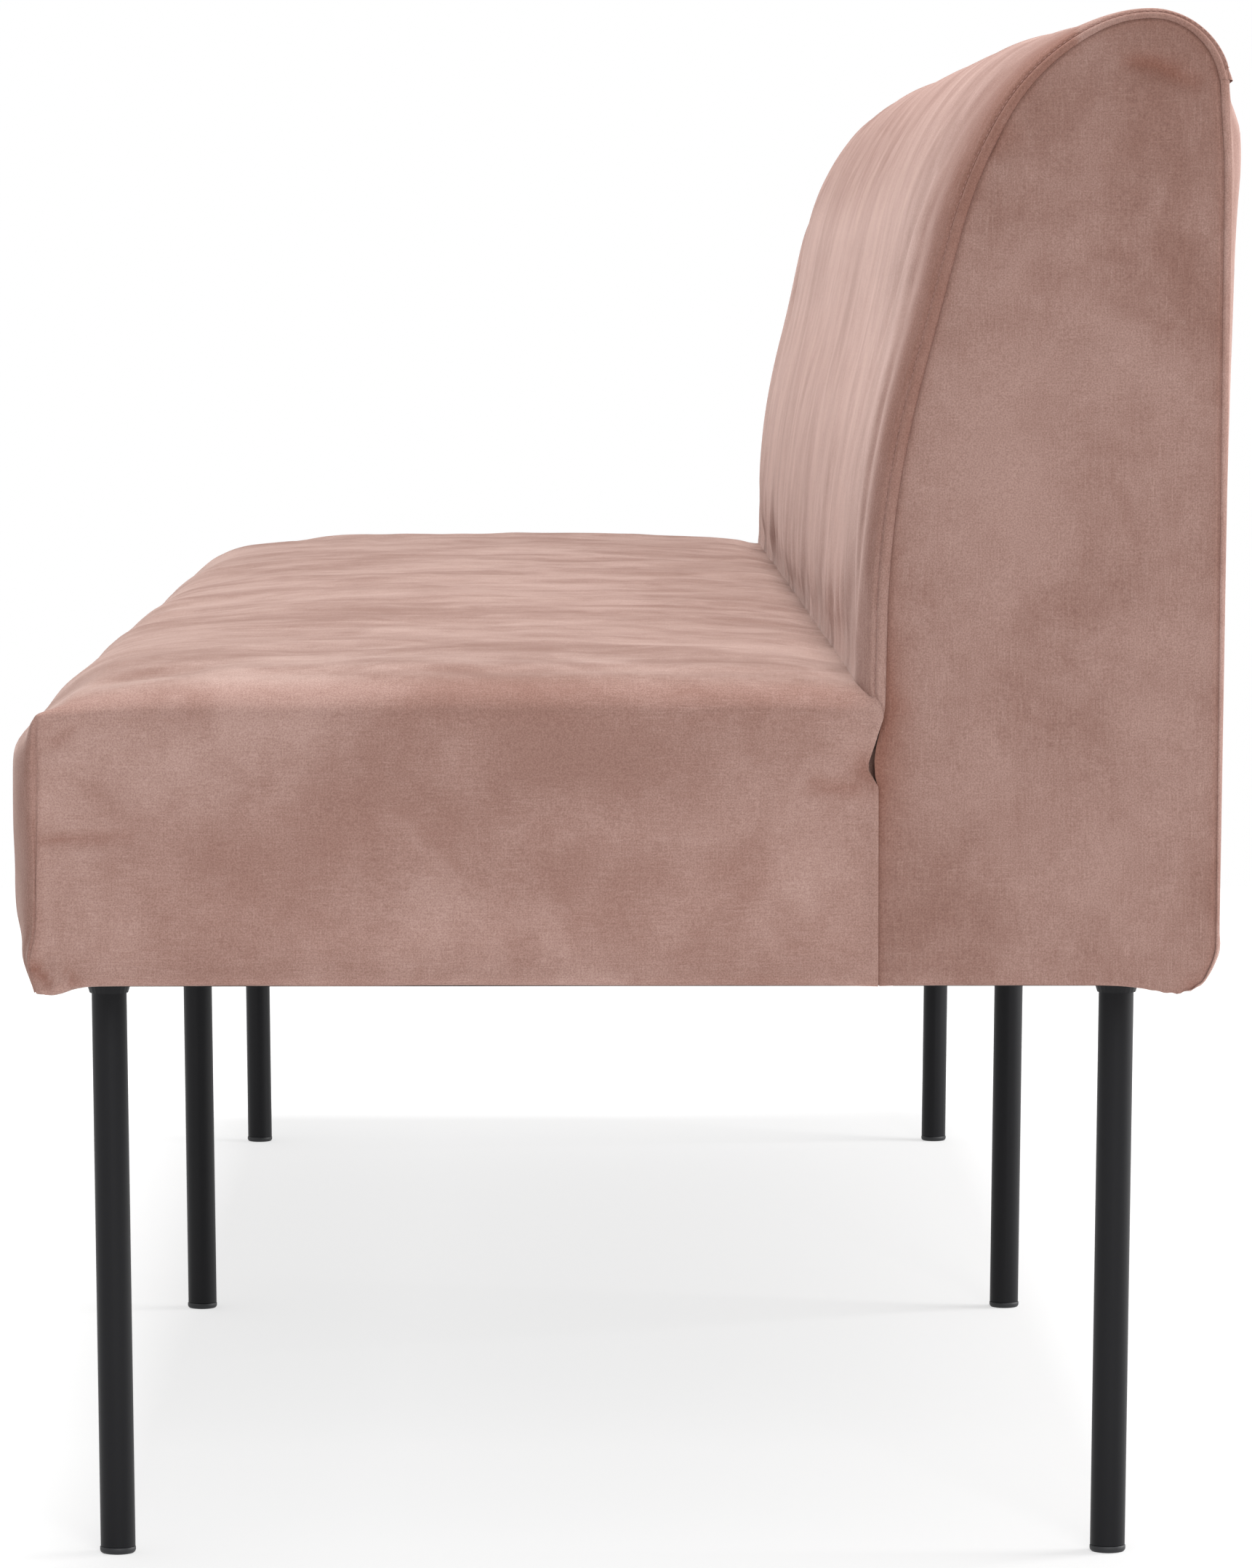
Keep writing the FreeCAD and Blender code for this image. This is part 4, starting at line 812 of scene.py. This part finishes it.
# %% Relief of the end panels
PANEL_FOLDS = [
    ([(0.262, 0.8075), (0.283, 0.8055), (0.309, 0.7945)], -0.0026, 0.0058),
    ([(0.256, 0.8145), (0.290, 0.8150)], 0.0008, 0.0070),
    ([(0.168, 0.7560), (0.197, 0.7625), (0.214, 0.7690)], -0.0011, 0.0080),
    ([(0.150, 0.7150), (0.168, 0.7260)], -0.0007, 0.0060),
    ([(0.140, 0.4700), (0.156, 0.4600)], -0.0007, 0.0060),
    ([(0.138, 0.4460), (0.152, 0.4250)], 0.0008, 0.0060),
    ([(0.290, 0.3290), (0.306, 0.3210)], 0.0009, 0.0030),
    ([(0.296, 0.3240), (0.306, 0.3165)], -0.0012, 0.0022),
    ([(0.280, 0.3185), (0.298, 0.3150)], 0.0008, 0.0025),
]
PANEL_TUCK = [(0.316, -0.0004), (0.400, -0.0022), (0.4195, -0.0028), (0.4240, -0.0034), (0.4275, -0.0044),
              (0.4315, -0.0048), (0.437, -0.0052), (0.445, -0.0042), (0.455, -0.0018), (0.464, 0.0)]
RIM_PARTS = 8
WELL_INSIDE = 0.02
outline = end_template[FIRST: LAST + 1]
rim = KDTree(RIM_PARTS * len(outline))
for index, (start, end) in enumerate(zip(outline, outline[1:])):
    for part in range(RIM_PARTS):
        rim.insert(start.lerp(end, part / RIM_PARTS), RIM_PARTS * index + part)
rim.balance()


def from_rim(spot):
    """Distance in the side plane to the seam round an end panel."""
    return rim.find(Vector((0, spot.y, spot.z)))[2]


def panel_move(spot, normal):
    """The line of the seam, a gentle puff and the dents of an end panel."""
    side = math.copysign(1, spot.x)
    turned_under = spot.z < HEM + 0.0004 and abs(spot.x) < HALF - 0.002
    edge = WELL_INSIDE if turned_under else from_rim(spot)
    if spot.z < HEM + 0.03:
        from_corner = min(spot.y - BACK_FRONT, REAR_SEAM - 0.02 - spot.y)
        edge = max(edge, WELL_INSIDE * smooth(0.0, 0.01, from_corner))
    below = (1 - smooth(0.436, 0.462, spot.z)) * (1 - smooth(0.16, 0.18, spot.y))
    sunk = (-0.0017 * hump(edge, 0.0015) - 0.0009 * hump(edge, 0.009)) * (1 - 0.8 * below)
    puff = 0.0014 * smooth(0.0, 0.06, edge)
    height = 0.0012 * waves(spot, (1, 0.06, 0.07), 6.3) + 0.0005 * waves(spot, (1, 0.026, 0.03), 2.2)
    height = height * smooth(0.002, 0.02, edge) + folds(spot, PANEL_FOLDS)
    outward = 0 if turned_under else side * (sunk + puff + height)
    move = Vector((outward, 0, 0)) + set_in(spot)
    if spot.z < 0.464:
        move.y += between(spot.z, PANEL_TUCK) * hump(spot.y - BACK_FRONT - 0.001, 0.012)
    return move + rear_corner(spot, HALF - abs(spot.x), REAR_SEAM - 0.020, 0.004)


def panel_painted_shade(spot):
    """Painted shade in the dents, beside the seat and just inside the seam."""
    seam = hump(from_rim(spot), 0.004)
    beside = hump(spot.y - BACK_FRONT - 0.004, 0.012) * hump(spot.z - 0.452, 0.055)
    return min(max(-folds(spot, PANEL_FOLDS) / 0.0030, 0) + 0.35 * seam + 0.9 * beside, 1)


for panel in panels.values():
    dress(panel, panel_move, panel_painted_shade)
print("panel folds", len(PANEL_FOLDS), "widest point",
      round(max(vert.co.x for vert in panels["right"].data.vertices), 4))

# %% [markdown]
# Shader maths reads best as maths. This small class wraps a socket, so that a plus sign adds a Math node,
# and one method makes any other node with its settings and the values of its sockets.

# %% A finish and its wires
class Wire:
    """A socket in an expression."""

    def __init__(self, finish, socket):
        self.finish, self.socket = finish, socket

    def _math(self, operation, first, second):
        return self.finish.node("ShaderNodeMath", {"operation": operation}, {0: first, 1: second})

    def __add__(self, other):
        return self._math("ADD", self, other)

    def __radd__(self, other):
        return self._math("ADD", other, self)

    def __rsub__(self, other):
        return self._math("SUBTRACT", other, self)

    def __mul__(self, other):
        return self._math("MULTIPLY", self, other)

    def above(self, low, high):
        """0 below low, 1 above high, smooth between."""
        settings = {"interpolation_type": "SMOOTHSTEP"}
        return self.finish.node("ShaderNodeMapRange", settings, {0: self, 1: low, 2: high, 3: 0.0, 4: 1.0})


class Finish:
    """A material whose nodes are made by plain calls."""

    def __init__(self, name):
        self.material = bpy.data.materials.new(name)
        self.material.use_nodes = True
        self.tree = self.material.node_tree
        self.surface = self.tree.nodes["Principled BSDF"]
        self.coordinates = self.node("ShaderNodeTexCoord", {}, {}, "Object")

    def node(self, kind, settings, values, output=0):
        """Makes a node and hands over one of its outputs; a value may be a number or a wire."""
        made = self.tree.nodes.new(kind)
        for key, value in settings.items():
            setattr(made, key, value)
        for key, value in values.items():
            self.join(made.inputs[key], value)
        return Wire(self, made.outputs[output])

    def join(self, socket, value):
        """Links a wire to a socket, or sets the socket's value."""
        if isinstance(value, Wire):
            self.tree.links.new(value.socket, socket)
        else:
            socket.default_value = value

    def set(self, **values):
        """Sets sockets of the surface, with _ in place of a space."""
        for key, value in values.items():
            self.join(self.surface.inputs[key.replace("_", " ")], value)
        return self

    def noise(self, scale, stretch=(1, 1, 1), detail=3.0, roughness=0.55, distortion=0.0, shift=(0, 0, 0)):
        moved = self.node("ShaderNodeMapping", {},
                          {"Vector": self.coordinates, "Location": shift, "Scale": stretch})
        values = {"Vector": moved, "Scale": scale, "Detail": detail,
                  "Roughness": roughness, "Distortion": distortion}
        return self.node("ShaderNodeTexNoise", {}, values, "Fac")

    def blend(self, share, low, high, kind="MIX"):
        values = {0: share, 6: low, 7: high}
        return self.node("ShaderNodeMix", {"data_type": "RGBA", "blend_type": kind}, values, 2)

    def bump(self, height, strength, distance):
        values = {"Height": height, "Strength": strength, "Distance": distance}
        return self.node("ShaderNodeBump", {}, values, "Normal")


def colour(red, green, blue):
    """A colour as it is seen on a screen, turned into light."""
    def light(value):
        value /= 255
        return value / 12.92 if value <= 0.04045 else ((value + 0.055) / 1.055) ** 2.4
    return (light(red), light(green), light(blue), 1.0)


print("half bright on a screen is", round(colour(128, 128, 128)[0], 3), "of the light")


# %% [markdown]
# Velvet is short pile. Where it leans another way it looks lighter or darker, which gives soft clouds, and
# at a glancing angle it shines, which is the sheen. The ground cloth has slubs: thicker threads that show
# as fine light lines, mostly along one direction of the cut and a few across it. Light and shade are also
# painted in: the faces that look towards an end get a darker copy of the colours as painted shade, and the
# cloth turned away from the ends, seen at a glance along the bench, a lighter copy as painted sheen and
# light from above.

# %% Velvet
def make_velvet(name, main, cross, tint=0, cool=0):
    """Velvet with its own direction of thread.

    main and cross are stretches of the noise: small along the thread, large across it. tint lightens the
    painted shade on cloth that faces an end of the bench, and cool takes some red out of the painted sheen
    on cloth turned away from it.
    """
    cloth = Finish(name)
    wide = cloth.noise(4.6, (1.4, 1, 1), 3.0, 0.6, 0.5)
    clouds = cloth.noise(12.0, (1.3, 1, 1), 4.0, 0.62, 0.6, (4, 1, 8))
    patches = cloth.noise(38.0, (1.4, 1, 1), 4.0, 0.62, 0.8)
    slub = cloth.noise(70.0, main, 2.0, 0.6)
    slub_across = cloth.noise(70.0, cross, 2.0, 0.6, shift=(3, 5, 7))
    where = cloth.noise(9.0, (1, 1, 1), 3.0, shift=(9, 2, 4)).above(0.42, 0.62)
    pile = cloth.noise(1150.0, (1, 1, 1), 3.0, 0.7)
    tone = wide * 0.34 + clouds * 0.32 + patches * 0.13 + slub * 0.13 + slub_across * 0.08
    # Painted light: a darker copy of the colours as painted shade for cloth facing an end, and a lighter
    # copy as painted sheen and light from above for cloth turned away.
    end_faces_painted_shade = cloth.blend(tone.above(0.38, 0.62), colour(149 + tint, 116 + tint, 106 + tint),
                         colour(176 + tint, 146 + tint, 137 + tint))
    glancing_painted_sheen = cloth.blend(tone.above(0.37, 0.63), colour(149 - cool, 114, 104),
                           colour(192 - cool, 161, 152))
    # The turned note picks between the painted shade copy and the painted sheen copy.
    turned = cloth.node("ShaderNodeAttribute", {"attribute_name": "turned"}, {}, "Fac")
    base = cloth.blend(turned, end_faces_painted_shade, glancing_painted_sheen)
    # Painted shade: where the mesh's note says so, the cloth is darkened towards a deep red-brown, in folds
    # and tucks, along seams and low on the front.
    painted_shade = cloth.node("ShaderNodeAttribute", {"attribute_name": "painted_shade"}, {}, "Fac")
    base = cloth.blend(painted_shade * 0.75, base, colour(132, 88, 74))
    lines = slub.above(0.60, 0.72) * where + slub_across.above(0.62, 0.74) * (1 - where)
    base = cloth.blend(lines * 0.15, base, colour(200, 168, 158))
    grain = cloth.blend(pile.above(0.30, 0.70), colour(220, 214, 212), colour(255, 255, 255))
    base = cloth.blend(1.0, base, grain, "MULTIPLY")
    relief = pile * 0.5 + lines * 0.35 + patches * 0.4
    cloth.set(Base_Color=base, Roughness=0.85 + patches * 0.12, Normal=cloth.bump(relief, 0.30, 0.0006))
    cloth.set(Sheen_Weight=0.32, Sheen_Roughness=0.30, Sheen_Tint=colour(252, 228, 220),
              Specular_IOR_Level=0.05)
    return cloth.material


seat_velvet = make_velvet("velvet_of_the_seat", (14, 1.1, 20), (1.1, 18, 1.3), tint=5, cool=5)
back_velvet = make_velvet("velvet_of_the_back", (18, 1.4, 1.1), (1.1, 16, 18))
panel_velvet = make_velvet("velvet_of_the_end_panels", (8, 20, 1.0), (8, 1.1, 20), tint=-8)
seat.data.materials.append(seat_velvet)
for piece in (band, rear):
    piece.data.materials.append(back_velvet)
for piece in panels.values():
    piece.data.materials.append(panel_velvet)
print("nodes in the seat's velvet", len(seat_velvet.node_tree.nodes))

# %% [markdown]
# Stitches are small, but they tell the eye where a seam is. Each is a short rounded bar, laid on the
# finished cloth: a search from the wanted place finds the nearest point of the surface and its normal.

# %% Stitches
STITCH_PITCH = 0.0034
thread = Finish("sewing_thread")
twist = thread.noise(2400.0, (1, 1, 1), 2.0)
thread.set(Base_Color=thread.blend(twist, colour(138, 100, 90), colour(172, 134, 124)),
           Roughness=0.6 + twist * 0.2, Normal=thread.bump(twist, 0.3, 0.0002))


def evenly(path, pitch):
    """Points at an even pitch along a path, each with its direction."""
    found, rest = [], 0.0
    for start, end in zip(path, path[1:]):
        length = (end - start).length
        while rest < length:
            found.append((start.lerp(end, rest / length), (end - start).normalized()))
            rest += pitch
        rest -= length
    return found


def make_stitches(name, rows, cloth, length=0.0022, radius=0.00030, lift=0.00012):
    """Rows of stitches laid on a piece of cloth."""
    tree = BVHTree.FromPolygons([vert.co for vert in cloth.data.vertices],
                                [face.vertices for face in cloth.data.polygons])
    one = bmesh.new()
    bmesh.ops.create_uvsphere(one, u_segments=6, v_segments=4, radius=1)
    pattern = bpy.data.meshes.new("one_stitch")
    one.to_mesh(pattern)
    one.free()
    bm = bmesh.new()
    for path in rows:
        for spot, way in evenly(path, STITCH_PITCH):
            place, normal, _, _ = tree.find_nearest(spot)
            side = way.cross(normal).normalized()
            turn = Matrix((way, side, normal)).transposed().to_4x4()
            size = Matrix.Diagonal((length / 2, radius, radius, 1))
            matrix = Matrix.Translation(place + normal * lift) @ turn @ size
            made = len(bm.verts)
            bm.from_mesh(pattern)
            bm.verts.ensure_lookup_table()
            for vert in bm.verts[made:]:
                vert.co = matrix @ vert.co
    faces_each = len(pattern.polygons)
    bpy.data.meshes.remove(pattern)
    stitches = finish_mesh(bm, name, 1e-7)
    stitches.data.materials.append(thread.material)
    print(name, len(stitches.data.polygons) // faces_each, "stitches")
    return stitches


above_seat = [step for step in range(FIRST, HEM_STEP) if end_template[step].z > 0.466]
back_stitches = []
for side, sign in SIDES:
    end_row = [back_place(step, sign * (BACK_END - LIP_END)) for step in above_seat]
    back_stitches.append(make_stitches("back_top_stitches_" + side, [end_row], band))
hem_row = [Vector((x, back_place(HEM_STEP - 1, x).y, REAR_HEM + 0.0075))
           for x in back_stations if BACK_END - abs(x) > LIP_END + 0.002]
hem_stitches = make_stitches("back_hem_stitches", [hem_row], band)
corner_rows = [[Vector((sign * HALF, FRONT_SEAM, HEM + 0.004 + 0.002 * step)) for step in range(71)]
               for sign in (-1, 1)]
seat_stitches = make_stitches("seat_corner_stitches", corner_rows, seat, 0.0018, 0.00026, -0.0001)

# %% [markdown]
# The feet are turned plastic: a disc a little wider than the tube, with a fine groove where the two meet
# and a rounded edge below. A profile of a few vertices is spun once round: each vertex has its inset from
# the foot's edge and its height.

# %% Feet
FOOT_PROFILE = [(0.0020, 0), (0.0010, 0.0002), (0.0003, 0.0009), (0, 0.0018), (0, 0.0033), (0.0003, 0.0037),
                (0.0009, 0.0038), (0.0011, 0.0040), (0.0024, 0.0040), (0.0024, 0.0160), (0.0034, 0.0178)]


def make_foot(name, node):
    """A spun foot in the place of a construction foot."""
    low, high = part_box(node)
    centre = Vector(((low.x + high.x) / 2, (low.y + high.y) / 2, 0))
    radius = (high.x - low.x) / 2
    profile = [(0, 0)] + [(radius - inset, up) for inset, up in FOOT_PROFILE] + [(0, FOOT_PROFILE[-1][1])]
    bm = bmesh.new()
    verts = [bm.verts.new(centre + Vector((across, 0, up))) for across, up in profile]
    edges = [bm.edges.new(pair) for pair in zip(verts, verts[1:])]
    bmesh.ops.spin(bm, geom=verts + edges, cent=centre, axis=(0, 0, 1), angle=2 * math.pi, steps=40,
                   use_merge=True)
    foot = finish_mesh(bm, name)
    foot.data.set_sharp_from_angle(angle=math.radians(40))
    return foot


corners = [row + "_" + side for row in ("front", "rear") for side in ("left", "middle", "right")]
feet = {corner: make_foot("foot_" + corner, "glide_" + corner) for corner in corners}
print("foot faces", len(feet["front_left"].data.polygons))

# %% [markdown]
# Below, thin black cloth is stretched under each frame, with a window round every leg plate. It is one
# sheet each: a grid, cut along the windows' edges, that hangs a hair lower between its staples.

# %% Cloth under the frames
WINDOW_GAP = 0.0006


def make_dust_sheet(name, node):
    """A stretched sheet with windows for the leg plates; returns it and its flat area."""
    low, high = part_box(node)
    middle, span = (low + high) / 2, high - low
    bm = bmesh.new()
    bmesh.ops.create_grid(bm, x_segments=150, y_segments=max(int(span.y / 0.013), 4), size=0.5)
    bmesh.ops.scale(bm, verts=bm.verts, vec=(span.x, span.y, 1))
    bmesh.ops.translate(bm, verts=bm.verts, vec=(middle.x, middle.y, low.z + 0.0005))
    windows = []
    for corner in corners:
        plate_low, plate_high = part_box("leg_plate_" + corner)
        if plate_low.y < high.y and plate_high.y > low.y:
            windows.append((plate_low.x - WINDOW_GAP, plate_high.x + WINDOW_GAP,
                            plate_low.y - WINDOW_GAP, plate_high.y + WINDOW_GAP))
    for left, right, front, back in windows:
        for spot, way in ((left, (1, 0, 0)), (right, (1, 0, 0)), (front, (0, 1, 0)), (back, (0, 1, 0))):
            point = Vector(way) * spot
            parts = list(bm.verts) + list(bm.edges) + list(bm.faces)
            bmesh.ops.bisect_plane(bm, geom=parts, dist=1e-6, plane_co=point, plane_no=way)
    inside = []
    for face in bm.faces:
        at = face.calc_center_median()
        if any(left < at.x < right and front < at.y < back for left, right, front, back in windows):
            inside.append(face)
    bmesh.ops.delete(bm, geom=inside, context="FACES")
    area = sum(face.calc_area() for face in bm.faces)
    for vert in bm.verts:
        edge = min(vert.co.x - low.x, high.x - vert.co.x, vert.co.y - low.y, high.y - vert.co.y)
        inner = smooth(0, 0.05, edge)
        vert.co.z -= 0.0009 * inner + 0.0004 * inner * waves(vert.co, (0.05, 0.05, 1), 4.2)
    sheet = finish_mesh(bm, name)
    thick = sheet.modifiers.new("thickness", "SOLIDIFY")
    thick.thickness, thick.offset = 0.0004, 0
    return sheet, (span.x, span.y), area


dust_sheets = {}
for node in ("seat_dust_cover", "back_dust_cover"):
    dust_sheets[node] = make_dust_sheet(node + "_cloth", node)
    print(node, "is cut from", [round(v, 3) for v in dust_sheets[node][1]])

# %% [markdown]
# The other finishes: satin black powder coat with a faint orange peel, moulded foot plastic, planed
# softwood and plywood with their grain, zinc on the fasteners, webbing and the black cloth underneath.

# %% Hard finishes
def make_powder_coat():
    paint = Finish("powder_coat_black")
    peel = paint.noise(900.0, (1, 1, 1), 2.0)
    worn = paint.noise(30.0, (1, 1, 0.4), 3.0)
    paint.set(Base_Color=paint.blend(worn, colour(14, 14, 17), colour(20, 20, 23)),
              Roughness=0.42 + worn * 0.08, Normal=paint.bump(peel, 0.10, 0.0002), Specular_IOR_Level=0.20)
    return paint.material


def make_foot_plastic():
    plastic = Finish("foot_plastic_black")
    grain = plastic.noise(1200.0)
    plastic.set(Base_Color=plastic.blend(grain, colour(22, 23, 26), colour(32, 33, 36)),
                Roughness=0.5 + grain * 0.1, Normal=plastic.bump(grain, 0.1, 0.0002))
    return plastic.material


def make_timber(name, stretch, pale, dark, rings):
    wood = Finish(name)
    grain = wood.noise(rings, stretch, 4.0, 0.6, 0.6)
    pores = wood.noise(rings * 6, stretch, 2.0)
    wood.set(Base_Color=wood.blend(grain.above(0.3, 0.7), colour(*pale), colour(*dark)),
             Roughness=0.6 + pores * 0.2, Normal=wood.bump(grain + pores, 0.2, 0.0005))
    return wood.material


def make_zinc():
    zinc = Finish("zinc_plate")
    flow = zinc.noise(400.0)
    zinc.set(Base_Color=zinc.blend(flow, colour(150, 152, 155), colour(190, 190, 188)),
             Metallic=1.0, Roughness=0.3 + flow * 0.15, Normal=zinc.bump(flow, 0.08, 0.0002))
    return zinc.material


def make_webbing():
    strap = Finish("webbing_woven")
    lengthways = strap.noise(300.0, (4, 0.3, 0.3), 2.0)
    across = strap.noise(300.0, (0.4, 3, 3), 2.0)
    weave = lengthways * 0.5 + across * 0.5
    strap.set(Base_Color=strap.blend(weave.above(0.35, 0.65), colour(60, 56, 52), colour(104, 98, 90)),
              Roughness=0.85, Normal=strap.bump(weave, 0.4, 0.0006))
    return strap.material


def make_dust_finish():
    cloth = Finish("dust_cloth_black")
    fibres = cloth.noise(220.0, (1, 1, 1), 5.0, 0.7, 1.2)
    cloth.set(Base_Color=cloth.blend(fibres.above(0.35, 0.7), colour(22, 22, 23), colour(44, 44, 46)),
              Roughness=0.9, Normal=cloth.bump(fibres, 0.3, 0.0005))
    return cloth.material


foot_plastic = make_foot_plastic()
dust_finish = make_dust_finish()
finishes = {
    "black_steel": make_powder_coat(),
    "timber": make_timber("softwood_planed", (0.5, 9, 9), (214, 186, 140), (190, 154, 106), 14.0),
    "plywood": make_timber("birch_plywood", (9, 1.2, 0.5), (212, 182, 138), (186, 150, 104), 12.0),
    "zinc_steel": make_zinc(),
    "webbing": make_webbing(),
    "foot_plastic": foot_plastic,
    "dust_cloth": dust_finish,
}
slots = {row["node"]: row["material_slot"] for row in frame["record"]["subparts"]}
for name, node in nodes.items():
    if slots[name] in finishes:
        node.data.materials.clear()
        node.data.materials.append(finishes[slots[name]])
print("finishes", len(bpy.data.materials))

# %% [markdown]
# Every new piece rides on the bench's one body, and the construction nodes that a piece takes the place of
# are hidden.

# %% What each piece stands for
for piece, stands_for in (
    (seat, ("seat_cover", "seat_foam")),
    (band, ("back_front_cover", "back_foam")),
    (rear, ("back_rear_panel",)),
    (panels["left"], ("back_end_panel_left",)),
    (panels["right"], ("back_end_panel_right",)),
):
    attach(piece, "root")
    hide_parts(*stands_for)
for stitches in (*back_stitches, hem_stitches, seat_stitches):
    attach(stitches, "root")
for corner, foot in feet.items():
    foot.data.materials.append(foot_plastic)
    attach(foot, "root")
    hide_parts("glide_" + corner)
for node, (sheet, flat, area) in dust_sheets.items():
    sheet.data.materials.append(dust_finish)
    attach(sheet, "root")
    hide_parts(node)
    unit = node.split("_")[0]
    rests = ["seat_front_rail", "seat_rear_rail"] if unit == "seat" else ["back_lower_front_rail",
                                                                         "back_lower_rear_rail"]
    print(sheet.name, "covers", round(area, 3), "square metres")

# %% [markdown]
# A pale floor, a white surround for the camera and soft light from above, from behind the bench and from
# beside the camera. The camera stands where the photographer stood, almost in line with the bench, with a
# long lens. The floor glows a little to the camera, which keeps it nearly white as in the photograph.

# %% Floor, light and camera
FLOOR_GLOW = 0.495
PHOTO_HEIGHT, FOCAL_LENGTH = 2156, 10000
SENSOR = 36
floor_bm = bmesh.new()
bmesh.ops.create_grid(floor_bm, x_segments=8, y_segments=8, size=3.3)
floor = finish_mesh(floor_bm, "studio_floor")
paper = Finish("studio_paper")
paper.set(Base_Color=colour(240, 240, 240), Roughness=0.9)
glow = paper.node("ShaderNodeEmission", {}, {"Color": (1, 1, 1, 1), "Strength": 1.25})
path = paper.node("ShaderNodeLightPath", {}, {}).socket.node
seen = sum((Wire(paper, path.outputs[ray]) for ray in ("Is Glossy Ray", "Is Transmission Ray")),
           Wire(paper, path.outputs["Is Camera Ray"]))
mixed = paper.node("ShaderNodeMixShader", {},
                   {0: seen * FLOOR_GLOW, 1: Wire(paper, paper.surface.outputs[0]), 2: glow})
paper.tree.links.new(mixed.socket, paper.tree.nodes["Material Output"].inputs["Surface"])
floor.data.materials.append(paper.material)

world = bpy.data.worlds.new("studio_world")
bpy.context.scene.world = world
world.use_nodes = True
sky = world.node_tree
ray = sky.nodes.new("ShaderNodeLightPath")
ambient = sky.nodes["Background"]
ambient.inputs["Color"].default_value = (1, 1, 1, 1)
ambient.inputs["Strength"].default_value = 0.52
white = sky.nodes.new("ShaderNodeBackground")
white.inputs["Color"].default_value = (1, 1, 1, 1)
white.inputs["Strength"].default_value = 1.0
choose = sky.nodes.new("ShaderNodeMixShader")
found = ray.outputs["Is Camera Ray"]
for other in ("Is Glossy Ray", "Is Transmission Ray"):
    either = sky.nodes.new("ShaderNodeMath")
    sky.links.new(found, either.inputs[0])
    sky.links.new(ray.outputs[other], either.inputs[1])
    found = either.outputs[0]
sky.links.new(found, choose.inputs[0])
sky.links.new(ambient.outputs[0], choose.inputs[1])
sky.links.new(white.outputs[0], choose.inputs[2])
sky.links.new(choose.outputs[0], sky.nodes["World Output"].inputs["Surface"])


def add_softbox(name, spot, target, width, height, power):
    """A rectangular lamp at a spot, turned towards a target."""
    light = bpy.data.lights.new(name, "AREA")
    light.shape, light.size, light.size_y, light.energy = "RECTANGLE", width, height, power
    lamp = bpy.data.objects.new(name, light)
    bpy.context.scene.collection.objects.link(lamp)
    lamp.location = spot
    lamp.rotation_euler = (Vector(target) - Vector(spot)).to_track_quat("-Z", "Y").to_euler()


add_softbox("overhead", (0.25, 0.0, 4.4), (0, 0, 0.4), 1.8, 1.2, 188)
add_softbox("rear", (-0.2, 3.4, 1.5), (0, 0.3, 0.6), 2.2, 1.8, 110)
add_softbox("key", (5.2, 0.7, 2.4), (0.9, 0, 0.5), 1.8, 1.8, 84)

PITCH, YAW = math.radians(4.09), math.radians(0.50)
camera_data = bpy.data.cameras.new("photographer")
camera_data.lens = FOCAL_LENGTH / PHOTO_HEIGHT * SENSOR
camera_data.clip_end = 60
camera = bpy.data.objects.new("photographer", camera_data)
bpy.context.scene.collection.objects.link(camera)
camera.location = (4.856, -0.0326, 0.700)
forward = Vector((-math.cos(YAW) * math.cos(PITCH), math.sin(YAW) * math.cos(PITCH), -math.sin(PITCH)))
camera.rotation_euler = forward.to_track_quat("-Z", "Y").to_euler()
bpy.context.scene.camera = camera
bpy.context.scene.view_settings.view_transform = "Standard"
print("lamps", len(bpy.data.lights), "lens", round(camera_data.lens, 1), "mm")
